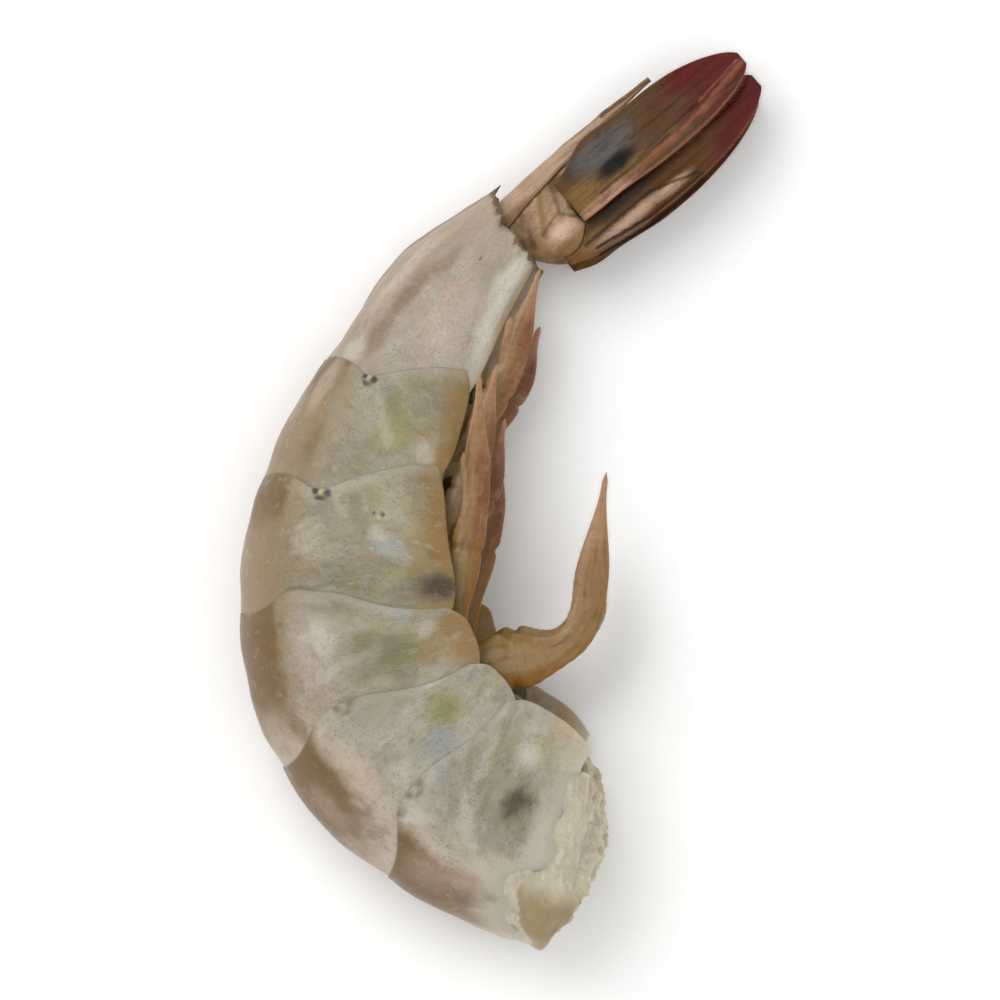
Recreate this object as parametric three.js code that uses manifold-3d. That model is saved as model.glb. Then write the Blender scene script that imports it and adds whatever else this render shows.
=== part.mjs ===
// A raw whiteleg shrimp tail: headless, in its shell, curled and lying on its right side.
// The animal's tail end is at +Y, its back is on the -X side, its left flank faces +Z.
// Millimetres and degrees. Distances "along" run down the middle of the body from the cut end.

import * as THREE from 'three';
import * as BufferGeometryUtils from 'three/addons/utils/BufferGeometryUtils.js';
import Module from 'manifold-3d';

const wasm = await Module();
wasm.setup();

// Driving dimensions of the body
const SEGMENT_LENGTHS = [11.6, 9.5, 10.4, 12.4, 10.6, 16.6];
const FAN_LENGTH = 25;
const HEADINGS = [161, 146, 123, 97, 73, 61, 41, 39];
const ROLLS = [6, 8, 11, 14, 16, 17, 14, 14];
const HALF_WIDTHS = [7.4, 7.6, 7.6, 7.3, 6.5, 5.1, 3.2, 3.2];
const BACK_HEIGHTS = [9.6, 9.8, 10, 9.2, 7.6, 5.9, 3.8, 3.8];
const BELLY_DEPTHS = [12.2, 12.9, 13.5, 13.7, 11.4, 9.2, 4.7, 4.7];
const FLANK_SINKS = [0.22, 0.22, 0.22, 0.22, 0.2, -0.1, -0.9, -0.9];
const BELLY_SQUARENESS = 0.45;
const LAST_BACK_SWELL = 0.8;

// Driving dimensions of the shell plates
const SHELL_THICKNESS = 0.4;
const SHELL_GAP = 0.36;
const SHELL_MARGIN_ANGLES = [156, 157, 158, 158, 158, 168];
const SHELL_TUCK = 2.3;
const SHELL_RISE_START = 0.6;
const SHELL_RISE_END = 3;
const BACK_SHIFTS = [-0.6, 0.3, 0.6, 0.6, -2.2, -2.3, 0.5];
const FLANK_SHIFTS = [0, 3, 3.2, 2.9, -2.2, -1.8, 0];
const MARGIN_SHIFTS = [1.6, 0.8, -0.8, -1.6, 4.2, 3.6, -0.9];
const FLANK_SPREAD = 28;
const HINGE_ANGLE = 87;
const HINGE_NOTCH = 0.5;
const HINGE_SPREAD = 11;
const MARGIN_ROUNDING = 13;
const TEARS = [{ height: 3.2, angle: 52, spread: 34 }, { height: 2.2, angle: -60, spread: 40 }];

// Driving dimensions of the flesh. The cut lies further out at the flanks than at back and belly.
const FLESH_CLEARANCE = 1.5;
const CUT_CLEARANCE = 0.75;
const CUT_REACH = [4.5, 8.5];
const FLESH_BELLY = 0.7;
const FLESH_SQUARENESS = 0.55;
const FLESH_END_GAP = 1.8;
const CUT_BACK = -0.4;
const CUT_BELLY = 2.2;
const CUT_FLANK = 2.3;
const CUT_DOME = 1.6;
const CUT_SWELL = 0.95;
const CUT_LUMPS = 0.3;

// Driving dimensions of the tail fan, in a frame that starts at the last joint
const FAN_HEADING = 40;
const FAN_ROLL = 5;
const TELSON = {
  start: -1.2, end: 18, rootHalfWidth: 1.6, halfWidth: 1.95, tipHalfWidth: 0.28, height: 3, arch: 2.5, tipArch: 0.35,
  thickness: 0.85,
};
const STALK = {
  start: -0.9, end: 4.75, rootHalfDepth: 1.4, halfDepth: 2.25, thickness: 1.3, rootBack: -1.5, endBack: -1.9,
  rootAside: 1.2, sunk: 0.7,
};
const BLADE_STATIONS = [0, 0.08, 0.2, 0.4, 0.7, 1];
const ENDOPOD = {
  start: 5.1, end: 25.5, sunk: 0,
  middles: [-1.85, -1.65, -1.1, -1.3, -1.4, -1.8], halfWidths: [2.25, 2.5, 3.05, 3.15, 3.15, 3],
};
const EXOPOD = {
  start: 1.6, end: 25.2, sunk: 0.85,
  middles: [-5.4, -5.72, -5, -4.55, -4.4, -4.2], halfWidths: [0.85, 1.25, 2.2, 3.25, 3.3, 3.2],
};
const BLADE_THICKNESS = 0.45;
const ROOF_START = 2.15;
const ROOF_RISE = 2.9;
const ROOF_TOP = 1.2;
const ROOF_RUN = 5.5;

// Driving dimensions of the swimmerets, from the cut end to the tail. Each has a stalk and two blades.
// lean is its direction from the body's own at the root, at the knee and at the tip. apart is how far the
// short blade and the right limb stand out beside the left limb's long blade.
const SWIMMERETS = [
  {
    number: 2, root: 20.3, aside: 2.5, sunk: 1, lean: [-124, -114, -43], length: 24.2, stalk: 0.15, width: 5.3,
    blade: 3.1, short: 0.2, apart: 0, rises: [-1.6, -1.6],
  },
  {
    number: 3, root: 27.6, aside: 2.3, sunk: 1.6, lean: [-20, -30, -18], length: 21.5, stalk: 0.3, width: 3.1,
    blade: 2.4, short: 0.38, apart: 1, rises: [2.1, -1.9],
  },
  {
    number: 4, root: 38.2, aside: 2.1, sunk: 0.8, lean: [-24, -16, -4], length: 17, stalk: 0.34, width: 3.3, blade: 2.3,
    short: 0.38, apart: 1, rises: [-1, 1.8],
  },
  {
    number: 5, root: 50.2, aside: 1.6, sunk: 2, lean: [-12, -4, 8], length: 17.2, stalk: 0.34, width: 2.8, blade: 2.4,
    short: 0.38, apart: 1, rises: [-2.2, -2.9],
  },
];
const LONG_BLADE_TURNED = 0.52;
const LONG_BLADE_TAPER_START = 0.62;
const SHORT_BLADE_LEAN = 9;
const SHORT_BLADE_DROP = 0.35;
const RIGHT_LIMB_SCALE = 0.74;
const RIGHT_LIMB_LEAN = -3;
const LIMB_FLATNESS = 0.3;
const LIMB_HALF_THICKNESS = 0.22;
const FIRST_PAIR = { from: 3.5, to: 14.6, aside: 2, gap: 0.45, width: 2.6, thickness: 1.1 };

// Steps and facets
const LINE_STEP = 0.25;
const LINE_START = -6;
const SHELL_ROWS = 8;
const SHELL_COLUMNS = 28;
const FLESH_ROWS = 30;
const CUT_RINGS = 4;
const FLESH_COLUMNS = 24;
const TELSON_ROWS = 14;
const BLADE_ROWS = 12;
const LEAF_COLUMNS = 8;
const STALK_RINGS = 8;
const STALK_SIDES = 12;
const LONG_BLADE_RINGS = 9;
const SHORT_BLADE_RINGS = 5;
const LONG_BLADE_SIDES = 8;
const SHORT_BLADE_SIDES = 6;
const KNEE_STEPS = 12;

const SEGMENTS = SEGMENT_LENGTHS.length;
const DEGREE = Math.PI / 180;
const sin = (angle) => Math.sin(angle * DEGREE);
const cos = (angle) => Math.cos(angle * DEGREE);
const mix = (a, b, t) => a + (b - a) * t;
const clamp = (value, low, high) => Math.min(high, Math.max(low, value));
const ramp = (value, low, high) => {
  const t = clamp((value - low) / (high - low), 0, 1);
  return t * t * (3 - 2 * t);
};

// Joint places along the middle of the body, ending with the tip of the tail fan
const JOINTS = [0];
for (const length of [...SEGMENT_LENGTHS, FAN_LENGTH]) JOINTS.push(JOINTS.at(-1) + length);

// A smooth curve through one value at each of some places
function curve(places, values, place) {
  const at = clamp(place, places[0], places.at(-1));
  let i = 0;
  while (i < places.length - 2 && at > places[i + 1]) i += 1;
  const step = (k) => places[k + 1] - places[k];
  const rate = (k) => (values[k + 1] - values[k]) / step(k);
  const slope = (k) => {
    if (k === 0) return rate(0);
    if (k === places.length - 1) return rate(k - 1);
    return (rate(k - 1) * step(k) + rate(k) * step(k - 1)) / (step(k - 1) + step(k));
  };
  const h = step(i);
  const t = (at - places[i]) / h;
  return (1 + 2 * t) * (1 - t) ** 2 * values[i] + t * (1 - t) ** 2 * h * slope(i)
    + t * t * (3 - 2 * t) * values[i + 1] + t * t * (t - 1) * h * slope(i + 1);
}

const along = (values, s) => curve(JOINTS, values, s);
const bell = (value, middle, spread) => Math.exp(-(((value - middle) / spread) ** 2));

// The back stands a little higher in the middle of the last segment
function backHeight(s) {
  const share = clamp((s - JOINTS[SEGMENTS - 1]) / SEGMENT_LENGTHS[SEGMENTS - 1], 0, 1);
  return along(BACK_HEIGHTS, s) + LAST_BACK_SWELL * Math.sin(Math.PI * share) ** 2;
}

// The middle line, walked in short steps from the cut end both ways
const line = [];
{
  let x = 0;
  let y = 0;
  for (let s = LINE_START; s <= JOINTS.at(-1) + LINE_STEP; s += LINE_STEP) {
    line.push([x, y]);
    const heading = along(HEADINGS, s + LINE_STEP / 2);
    x += cos(heading) * LINE_STEP;
    y += sin(heading) * LINE_STEP;
  }
}

// The frame of one cross-section: forward along the tail, out of the back, out of the left flank
function section(s) {
  const heading = along(HEADINGS, s);
  const roll = along(ROLLS, s);
  const width = along(HALF_WIDTHS, s);
  const place = (s - LINE_START) / LINE_STEP;
  const k = clamp(Math.floor(place), 0, line.length - 2);
  const t = place - k;
  const outward = new THREE.Vector3(-sin(heading), cos(heading), 0);
  const up = new THREE.Vector3(0, 0, 1);
  const reach = Math.hypot(width * cos(roll), along(BACK_HEIGHTS, s) * sin(roll));
  return {
    origin: new THREE.Vector3(mix(line[k][0], line[k + 1][0], t), mix(line[k][1], line[k + 1][1], t),
      reach - along(FLANK_SINKS, s)),
    tail: new THREE.Vector3(cos(heading), sin(heading), 0),
    back: outward.clone().multiplyScalar(cos(roll)).addScaledVector(up, -sin(roll)),
    left: outward.clone().multiplyScalar(sin(roll)).addScaledVector(up, cos(roll)),
  };
}

const inFrame = (frame, tail, back, left) => frame.origin.clone().addScaledVector(frame.tail, tail)
  .addScaledVector(frame.back, back).addScaledVector(frame.left, left);

// A point on the shell's outer form: angle 0 is the back, 90 the left flank, 180 the belly.
// The flank that lies down is pressed flat where it would pass below the ground.
function bodyPoint(s, angle, lift) {
  const frame = section(s);
  const width = along(HALF_WIDTHS, s);
  const back = cos(angle) > 0;
  const depth = back ? backHeight(s) : along(BELLY_DEPTHS, s);
  const side = Math.sign(sin(angle)) * Math.abs(sin(angle)) ** (back ? 1 : BELLY_SQUARENESS);
  const point = inFrame(frame, 0, depth * cos(angle), width * side);
  point.z = Math.max(point.z, 0);
  return point.addScaledVector(frame.back, lift * cos(angle) * (back ? 1 : 0.25))
    .addScaledVector(frame.left, lift * side);
}

// Turns a list of vertices and faces into a geometry whose faces point out
function solid(vertices, faces) {
  const area = new THREE.Vector3();
  let volume = 0;
  for (const [a, b, c] of faces) volume += vertices[a].dot(area.crossVectors(vertices[b], vertices[c]));
  const indices = volume > 0 ? faces.flat() : faces.flatMap(([a, b, c]) => [a, c, b]);
  const geometry = new THREE.BufferGeometry();
  geometry.setAttribute('position', new THREE.Float32BufferAttribute(vertices.flatMap((v) => v.toArray()), 3));
  geometry.setIndex(indices);
  return geometry;
}

const quad = (faces, a, b, c, d) => faces.push([a, b, c], [a, c, d]);

// A thin curved plate: two like grids of points joined round their edge
function plate(rows, columns, outer, inner) {
  const vertices = [];
  const faces = [];
  for (const face of [outer, inner]) {
    for (let i = 0; i <= rows; i += 1) {
      for (let j = 0; j <= columns; j += 1) vertices.push(face(i / rows, j / columns));
    }
  }
  const width = columns + 1;
  const shift = (rows + 1) * width;
  const at = (i, j) => i * width + j;
  for (let i = 0; i < rows; i += 1) {
    for (let j = 0; j < columns; j += 1) {
      quad(faces, at(i, j), at(i + 1, j), at(i + 1, j + 1), at(i, j + 1));
      quad(faces, shift + at(i, j), shift + at(i, j + 1), shift + at(i + 1, j + 1), shift + at(i + 1, j));
    }
  }
  const rim = [];
  for (let j = 0; j < columns; j += 1) rim.push(at(0, j));
  for (let i = 0; i < rows; i += 1) rim.push(at(i, columns));
  for (let j = columns; j > 0; j -= 1) rim.push(at(rows, j));
  for (let i = rows; i > 0; i -= 1) rim.push(at(i, 0));
  rim.forEach((a, k) => {
    const b = rim[(k + 1) % rim.length];
    quad(faces, a, b, shift + b, shift + a);
  });
  return solid(vertices, faces);
}

// A closed limb or body: rings of points between a first and a last point
function rings(count, sides, ringPoint, first, last) {
  const vertices = [first];
  const faces = [];
  for (let i = 0; i < count; i += 1) {
    for (let j = 0; j < sides; j += 1) vertices.push(ringPoint(i / (count - 1), j / sides));
  }
  vertices.push(last);
  const at = (i, j) => 1 + i * sides + (j % sides);
  for (let j = 0; j < sides; j += 1) {
    faces.push([0, at(0, j), at(0, j + 1)]);
    faces.push([vertices.length - 1, at(count - 1, j + 1), at(count - 1, j)]);
    for (let i = 0; i < count - 1; i += 1) quad(faces, at(i, j), at(i + 1, j), at(i + 1, j + 1), at(i, j + 1));
  }
  return solid(vertices, faces);
}

// How far a plate's rear edge runs past its joint, round the body
function edgeShift(joint, angle) {
  const turn = (1 - cos(angle)) / 2;
  const flank = FLANK_SHIFTS[joint] * bell(Math.abs(angle), HINGE_ANGLE, FLANK_SPREAD);
  const hinge = HINGE_NOTCH * bell(Math.abs(angle), HINGE_ANGLE, HINGE_SPREAD);
  return mix(BACK_SHIFTS[joint], MARGIN_SHIFTS[joint], turn) + flank - hinge;
}

// The first plate's front edge is torn where the head was taken off
function tornEdge(angle) {
  const tears = TEARS.reduce((sum, tear) => sum + tear.height * bell(angle, tear.angle, tear.spread), 0);
  return edgeShift(0, angle) + tears + 0.5 * sin(angle * 7) + 0.35 * sin(angle * 11 + 40);
}

function shellGeometry(k) {
  const surface = (lift) => (u, v) => {
    const rounding = MARGIN_ROUNDING * Math.abs(2 * u - 1) ** 3;
    const angle = (2 * v - 1) * (SHELL_MARGIN_ANGLES[k] - rounding);
    const front = k === 0 ? tornEdge(angle) : edgeShift(k, angle) - SHELL_TUCK;
    const s = mix(JOINTS[k] + front, JOINTS[k + 1] + edgeShift(k + 1, angle), u ** 0.85);
    const covered = k === 0 ? 1 : ramp(s - JOINTS[k] - edgeShift(k, angle), SHELL_RISE_START, SHELL_RISE_END);
    const tucked = mix(-SHELL_THICKNESS - SHELL_GAP, 0, covered);
    return bodyPoint(s, angle, tucked + lift);
  };
  return plate(SHELL_ROWS, SHELL_COLUMNS, surface(0), surface(-SHELL_THICKNESS));
}

// The flesh runs through all six segments and swells out of the shell at the cut end
function fleshGeometry() {
  const end = JOINTS[SEGMENTS] - FLESH_END_GAP;
  const cutPlace = (angle) => mix(CUT_BACK, CUT_BELLY, (1 - cos(angle)) / 2) - CUT_FLANK * Math.abs(sin(angle));
  const lumps = (angle) => CUT_LUMPS * (sin(angle * 3 + 30) + 0.7 * sin(angle * 7) + 0.6 * sin(angle * 5 + 70));
  const skin = (u, angle) => {
    const s = mix(cutPlace(angle), end, u ** 1.15);
    const back = cos(angle) > 0;
    const bare = 1 - ramp(s - tornEdge(angle), -2.4, -0.7);
    const clearance = mix(CUT_CLEARANCE, FLESH_CLEARANCE, ramp(s, ...CUT_REACH));
    const grow = bare * (CUT_SWELL + lumps(angle)) - 0.7 * (1 - ramp(s - cutPlace(angle), 0, 1.2)) - clearance;
    const width = (along(HALF_WIDTHS, s) + grow) * Math.sqrt(clamp((end - s) / 3, 0.05, 1));
    const depth = (back ? backHeight(s) : along(BELLY_DEPTHS, s) * FLESH_BELLY + clearance) + grow;
    const side = Math.sign(sin(angle)) * Math.abs(sin(angle)) ** (back ? 1 : FLESH_SQUARENESS);
    const point = inFrame(section(s), 0, depth * Math.sqrt(clamp((end - s) / 3, 0.05, 1)) * cos(angle), width * side);
    point.z = Math.max(point.z, bare * 0.05 + (1 - bare) * FLESH_CLEARANCE);
    return point;
  };
  const cut = section(CUT_BACK - 1);
  const middle = inFrame(cut, -CUT_DOME, -1.2, 0.2);
  const point = (ring, v) => {
    const angle = 360 * v - 180;
    if (ring >= CUT_RINGS) return skin((ring - CUT_RINGS) / (FLESH_ROWS - 1), angle);
    const share = (ring + 1) / (CUT_RINGS + 1);
    const bulge = CUT_DOME * (share ** 2 - share) + lumps(angle + 140 * share) * share;
    return middle.clone().lerp(skin(0, angle), share).addScaledVector(cut.tail, bulge);
  };
  const last = inFrame(section(end + 0.2), 0, 0, 0);
  const count = CUT_RINGS + FLESH_ROWS;
  return rings(count, FLESH_COLUMNS, (u, v) => point(Math.round(u * (count - 1)), v), middle, last);
}

// The tail fan's frame at the last joint
const fan = section(JOINTS[SEGMENTS]);
{
  const outward = new THREE.Vector3(-sin(FAN_HEADING), cos(FAN_HEADING), 0);
  fan.tail.set(cos(FAN_HEADING), sin(FAN_HEADING), 0);
  fan.back.copy(outward).multiplyScalar(cos(FAN_ROLL)).setZ(-sin(FAN_ROLL));
  fan.left.copy(outward).multiplyScalar(sin(FAN_ROLL)).setZ(cos(FAN_ROLL));
}

// The telson: a long arched wedge with a groove down its middle, from the last plate to its point
function telsonGeometry() {
  const surface = (under) => (u, v) => {
    const across = 2 * v - 1;
    const width = mix(TELSON.halfWidth, TELSON.tipHalfWidth, u ** 1.2)
      + (TELSON.rootHalfWidth - TELSON.halfWidth) * (1 - ramp(u, 0, 0.18));
    const taper = mix(1, 0.45, u);
    const arch = mix(TELSON.arch, TELSON.tipArch, u);
    const top = TELSON.height - 0.3 * (2 * u - 1) ** 2 - arch * across ** 2;
    const groove = 0.22 * taper * Math.exp(-((across / 0.22) ** 2));
    const thickness = under * TELSON.thickness * taper * mix(1, 0.6, Math.abs(across));
    return inFrame(fan, mix(TELSON.start, TELSON.end, u), top - groove - thickness, across * width);
  };
  return plate(TELSON_ROWS, LEAF_COLUMNS, surface(0), surface(1));
}

// The fan's two sides close over each other like a roof, away from the middle
const roof = (back, t) => (ROOF_START + ROOF_RISE * (1 - Math.exp((back - ROOF_TOP) / ROOF_RUN)))
  * mix(1, 0.86, t / FAN_LENGTH);

// One blade of the tail fan: a thin leaf with a raised rib, on the left side (1) or the right (-1)
function bladeGeometry(blade, side) {
  const shift = side > 0 ? 0 : -0.5;
  const surface = (under) => (u, v) => {
    const across = 2 * v - 1;
    const t = mix(blade.start, blade.end + shift, u);
    const round = Math.sqrt(1 - (clamp(u - 0.55, 0, 1) / 0.46) ** 2);
    const width = curve(BLADE_STATIONS, blade.halfWidths, u) * round;
    const back = curve(BLADE_STATIONS, blade.middles, u) + across * width;
    const rib = 0.16 * Math.exp(-((across / 0.2) ** 2)) * (1 - u);
    const out = roof(back, t) - blade.sunk + rib - under * (BLADE_THICKNESS + rib);
    return inFrame(fan, t, back, side * out);
  };
  return plate(BLADE_ROWS, LEAF_COLUMNS, surface(0), surface(1));
}

// The short stalk that carries both blades of one side
function stalkGeometry(side) {
  const point = (u, v) => {
    const t = mix(STALK.start, STALK.end, u);
    const out = ramp(t, -0.4, 3.2);
    const middle = mix(STALK.rootBack, STALK.endBack, out);
    const close = mix(0.75, 1, ramp(u, 0, 0.3)) * mix(1, 0.82, ramp(u, 0.85, 1));
    const depth = mix(STALK.rootHalfDepth, STALK.halfDepth, out) * close;
    const back = middle + depth * cos(360 * v);
    const aside = mix(STALK.rootAside, roof(back, t) - STALK.sunk, out);
    return inFrame(fan, t, back, side * (aside + STALK.thickness * 0.5 * close * sin(360 * v)));
  };
  const endAside = roof(STALK.endBack, STALK.end) - STALK.sunk;
  const first = inFrame(fan, STALK.start - 0.15, STALK.rootBack, side * STALK.rootAside);
  const last = inFrame(fan, STALK.end + 0.12, STALK.endBack, side * endAside);
  return rings(STALK_RINGS, STALK_SIDES, point, first, last);
}

function joined(a, b) {
  const toSolid = (geometry) => {
    const merged = BufferGeometryUtils.mergeVertices(geometry, 1e-4);
    return new wasm.Manifold(new wasm.Mesh({
      numProp: 3,
      vertProperties: new Float32Array(merged.attributes.position.array),
      triVerts: new Uint32Array(merged.index.array),
    }));
  };
  const mesh = toSolid(a).add(toSolid(b)).getMesh();
  const geometry = new THREE.BufferGeometry();
  geometry.setAttribute('position', new THREE.BufferAttribute(new Float32Array(mesh.vertProperties), 3));
  geometry.setIndex(new THREE.BufferAttribute(new Uint32Array(mesh.triVerts), 1));
  return geometry;
}

// A flat tapering limb from a place, turning in plan as it goes
function limb(place, heading, leanAt, length, widthAt, rise, count, sides) {
  const spine = [place.clone()];
  const normals = [];
  for (let i = 0; i < count; i += 1) {
    const angle = heading + leanAt(i / (count - 1));
    normals.push(new THREE.Vector3(-sin(angle), cos(angle), 0));
    const step = length / (count - 1);
    spine.push(spine.at(-1).clone().add(new THREE.Vector3(cos(angle), sin(angle), rise / length).multiplyScalar(step)));
  }
  const ringPoint = (u, v) => {
    const i = Math.round(u * (count - 1));
    const width = widthAt(i / (count - 1)) / 2;
    return spine[i].clone().addScaledVector(normals[i], width * cos(360 * v))
      .add(new THREE.Vector3(0, 0, Math.max(width * LIMB_FLATNESS, LIMB_HALF_THICKNESS) * sin(360 * v)));
  };
  const first = spine[0].clone().lerp(spine[1], -0.12);
  const last = spine[count - 1].clone().lerp(spine[count], 0.3);
  return rings(count, sides, ringPoint, first, last);
}

function swimmeretGeometry(type, side) {
  const frame = section(type.root);
  const small = side > 0 ? 1 : RIGHT_LIMB_SCALE;
  const rise = type.rises[side > 0 ? 0 : 1];
  const depth = along(BELLY_DEPTHS, type.root) * FLESH_BELLY + type.sunk;
  const root = inFrame(frame, 0, -depth, side * type.aside);
  const heading = along(HEADINGS, type.root) + (side > 0 ? 0 : RIGHT_LIMB_LEAN * type.apart);
  const length = type.length * small;
  // Both limbs of a pair turn alike, so far is measured in the left limb's length
  const lean = (far) => (far < type.stalk
    ? mix(type.lean[0], type.lean[1], ramp(far, 0, type.stalk))
    : mix(type.lean[1], type.lean[2], ramp(far, type.stalk, LONG_BLADE_TURNED)));
  const width = (far) => {
    if (far < type.stalk) return type.width * mix(0.55, 1, ramp(far, 0, type.stalk * 0.8));
    const full = mix(type.width, type.blade, ramp(far, type.stalk, type.stalk + 0.2));
    return mix(full, 0.5, ramp(far / small, LONG_BLADE_TAPER_START, 1));
  };
  const long = limb(
    root, heading, (q) => lean(q * small), length, (q) => width(q * small), rise, LONG_BLADE_RINGS, LONG_BLADE_SIDES,
  );
  const knee = root.clone();
  for (let i = 0; i < KNEE_STEPS; i += 1) {
    const angle = heading + lean((i / KNEE_STEPS) * type.stalk);
    const step = type.length * type.stalk / KNEE_STEPS;
    knee.add(new THREE.Vector3(cos(angle), sin(angle), rise / length).multiplyScalar(step));
  }
  knee.z -= SHORT_BLADE_DROP;
  const inner = (q) => lean(type.stalk + q * type.short) + SHORT_BLADE_LEAN * type.apart;
  const shortWidth = (q) => type.blade * mix(0.75, 0.3, q);
  const short = limb(
    knee, heading, inner, type.length * type.short, shortWidth, -0.5, SHORT_BLADE_RINGS, SHORT_BLADE_SIDES,
  );
  return joined(long, short);
}

// The first pair lies folded back along the belly, between the plates' lower margins
function firstSwimmeretGeometry(side) {
  const depth = (s) => along(BELLY_DEPTHS, s) * FLESH_BELLY + FIRST_PAIR.gap + FIRST_PAIR.thickness / 2;
  const at = (s, back, left) => inFrame(section(s), 0, back - depth(s), side * (FIRST_PAIR.aside + left));
  const point = (u, v) => {
    const taper = Math.min(1, 0.6 + 2 * u) * mix(1, 0.3, ramp(u, 0.3, 1));
    return at(mix(FIRST_PAIR.from, FIRST_PAIR.to, u), FIRST_PAIR.thickness / 2 * taper * sin(360 * v),
      FIRST_PAIR.width / 2 * taper * cos(360 * v));
  };
  return rings(8, 8, point, at(FIRST_PAIR.from - 0.4, 0, 0), at(FIRST_PAIR.to + 0.4, 0, 0));
}

// Colours
const COLOURS = {
  shell: 0xb0a698,
  flesh: 0xdad6c8,
  telson: 0x9a8270,
  stalk: 0xc9ae9c,
  blade: 0x6b4a34,
  limb: 0xb48a5c,
};

const shrimp = new THREE.Group();

function add(name, geometry, colour, roughness = 0.35) {
  const mesh = new THREE.Mesh(geometry, new THREE.MeshStandardMaterial({ color: colour, roughness, metalness: 0 }));
  mesh.name = name;
  shrimp.add(mesh);
}

add('flesh', fleshGeometry(), COLOURS.flesh, 0.45);
for (let k = 0; k < SEGMENTS; k += 1) add(`shell_${k + 1}`, shellGeometry(k), COLOURS.shell);
add('telson', telsonGeometry(), COLOURS.telson);
for (const [name, side] of [['left', 1], ['right', -1]]) {
  add(`tail_stalk_${name}`, stalkGeometry(side), COLOURS.stalk);
  add(`tail_inner_blade_${name}`, bladeGeometry(ENDOPOD, side), COLOURS.blade);
  add(`tail_outer_blade_${name}`, bladeGeometry(EXOPOD, side), COLOURS.blade);
  add(`swimmeret_1_${name}`, firstSwimmeretGeometry(side), COLOURS.limb);
  for (const type of SWIMMERETS) add(`swimmeret_${type.number}_${name}`, swimmeretGeometry(type, side), COLOURS.limb);
}

// The origin is below the middle of the whole, on the ground
const box = new THREE.Box3().setFromObject(shrimp);
shrimp.position.set(-(box.min.x + box.max.x) / 2, -(box.min.y + box.max.y) / 2, -box.min.z);

export default shrimp;
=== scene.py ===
"""Looks of a raw headless whiteleg shrimp in its shell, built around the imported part.

The tail end is at +Y, the back on the -X side, and the left flank faces up. The body's
formulas work in millimetres and degrees, and a mesh gets its metres when it is made.
"""

import bmesh
import bpy
import numpy as np
from bpy.props import FloatProperty, FloatVectorProperty, IntProperty, PointerProperty
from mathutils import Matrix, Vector


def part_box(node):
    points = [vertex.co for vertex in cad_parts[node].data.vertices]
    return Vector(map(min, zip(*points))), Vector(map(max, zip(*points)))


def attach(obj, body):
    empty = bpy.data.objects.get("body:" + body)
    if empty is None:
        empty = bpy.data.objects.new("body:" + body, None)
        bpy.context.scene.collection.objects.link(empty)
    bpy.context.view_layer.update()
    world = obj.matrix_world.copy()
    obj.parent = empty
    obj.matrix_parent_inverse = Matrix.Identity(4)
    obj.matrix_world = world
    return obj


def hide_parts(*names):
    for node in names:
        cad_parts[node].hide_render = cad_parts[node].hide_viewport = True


bl_info = {
    "name": "Raw shrimp in its shell",
    "version": (1, 0, 0),
    "blender": (4, 5, 0),
    "location": "3D View > Sidebar > Shrimp",
    "description": "Builds the visible surfaces of a raw headless shrimp",
    "category": "Object",
}

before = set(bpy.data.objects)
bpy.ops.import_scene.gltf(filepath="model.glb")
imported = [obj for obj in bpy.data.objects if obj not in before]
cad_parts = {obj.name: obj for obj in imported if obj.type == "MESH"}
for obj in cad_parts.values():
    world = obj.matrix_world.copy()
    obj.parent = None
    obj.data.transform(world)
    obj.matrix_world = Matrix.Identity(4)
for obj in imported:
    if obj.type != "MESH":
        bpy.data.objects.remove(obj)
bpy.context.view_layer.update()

# The body, as in the part's source
SEGMENT_LENGTHS = [11.6, 9.5, 10.4, 12.4, 10.6, 16.6]
FAN_LENGTH = 25
HEADINGS = [161, 146, 123, 97, 73, 61, 41, 39]
ROLLS = [6, 8, 11, 14, 16, 17, 14, 14]
HALF_WIDTHS = [7.4, 7.6, 7.6, 7.3, 6.5, 5.1, 3.2, 3.2]
BACK_HEIGHTS = [9.6, 9.8, 10, 9.2, 7.6, 5.9, 3.8, 3.8]
BELLY_DEPTHS = [12.2, 12.9, 13.5, 13.7, 11.4, 9.2, 4.7, 4.7]
FLANK_SINKS = [0.22, 0.22, 0.22, 0.22, 0.2, -0.1, -0.9, -0.9]
BELLY_SQUARENESS = 0.45
LAST_BACK_SWELL = 0.8
# Share of a lift off the skin that reaches the belly
BELLY_LIFT = 0.25

# The shell plates
SHELL_GAP = 0.36
SHELL_THICKNESS = 0.4
SHELL_MARGIN_ANGLES = [156, 157, 158, 158, 158, 168]
SHELL_TUCK = 2.3
SHELL_RISE_START = 0.6
SHELL_RISE_END = 3
BACK_SHIFTS = [-0.6, 0.3, 0.6, 0.6, -2.2, -2.3, 0.5]
FLANK_SHIFTS = [0, 3, 3.2, 2.9, -2.2, -1.8, 0]
MARGIN_SHIFTS = [1.6, 0.8, -0.8, -1.6, 4.2, 3.6, -0.9]
FLANK_SPREAD = 28
HINGE_ANGLE = 87
HINGE_NOTCH = 0.5
HINGE_SPREAD = 11
MARGIN_ROUNDING = 13
# Height, angle and spread of each tear in the first plate's front edge
TEARS = [(3.2, 52, 34), (2.2, -60, 40)]
# Height of each finer ripple of that edge, how often it comes round the body, and its start
TEAR_RIPPLES = [(0.5, 7, 0), (0.35, 11, 40)]
ROWS_TO_REAR = 0.85
CAD_SHELL_ROWS = 8
CAD_SHELL_COLUMNS = 28

# The meat
FLESH_CLEARANCE = 1.5
CUT_CLEARANCE = 0.75
CUT_REACH = (4.5, 8.5)
FLESH_BELLY = 0.7
FLESH_SQUARENESS = 0.55
FLESH_END_GAP = 1.8
CUT_BACK = -0.4
CUT_BELLY = 2.2
CUT_FLANK = 2.3
CUT_DOME = 1.6
CUT_SWELL = 0.95
CUT_LUMPS = 0.3

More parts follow.
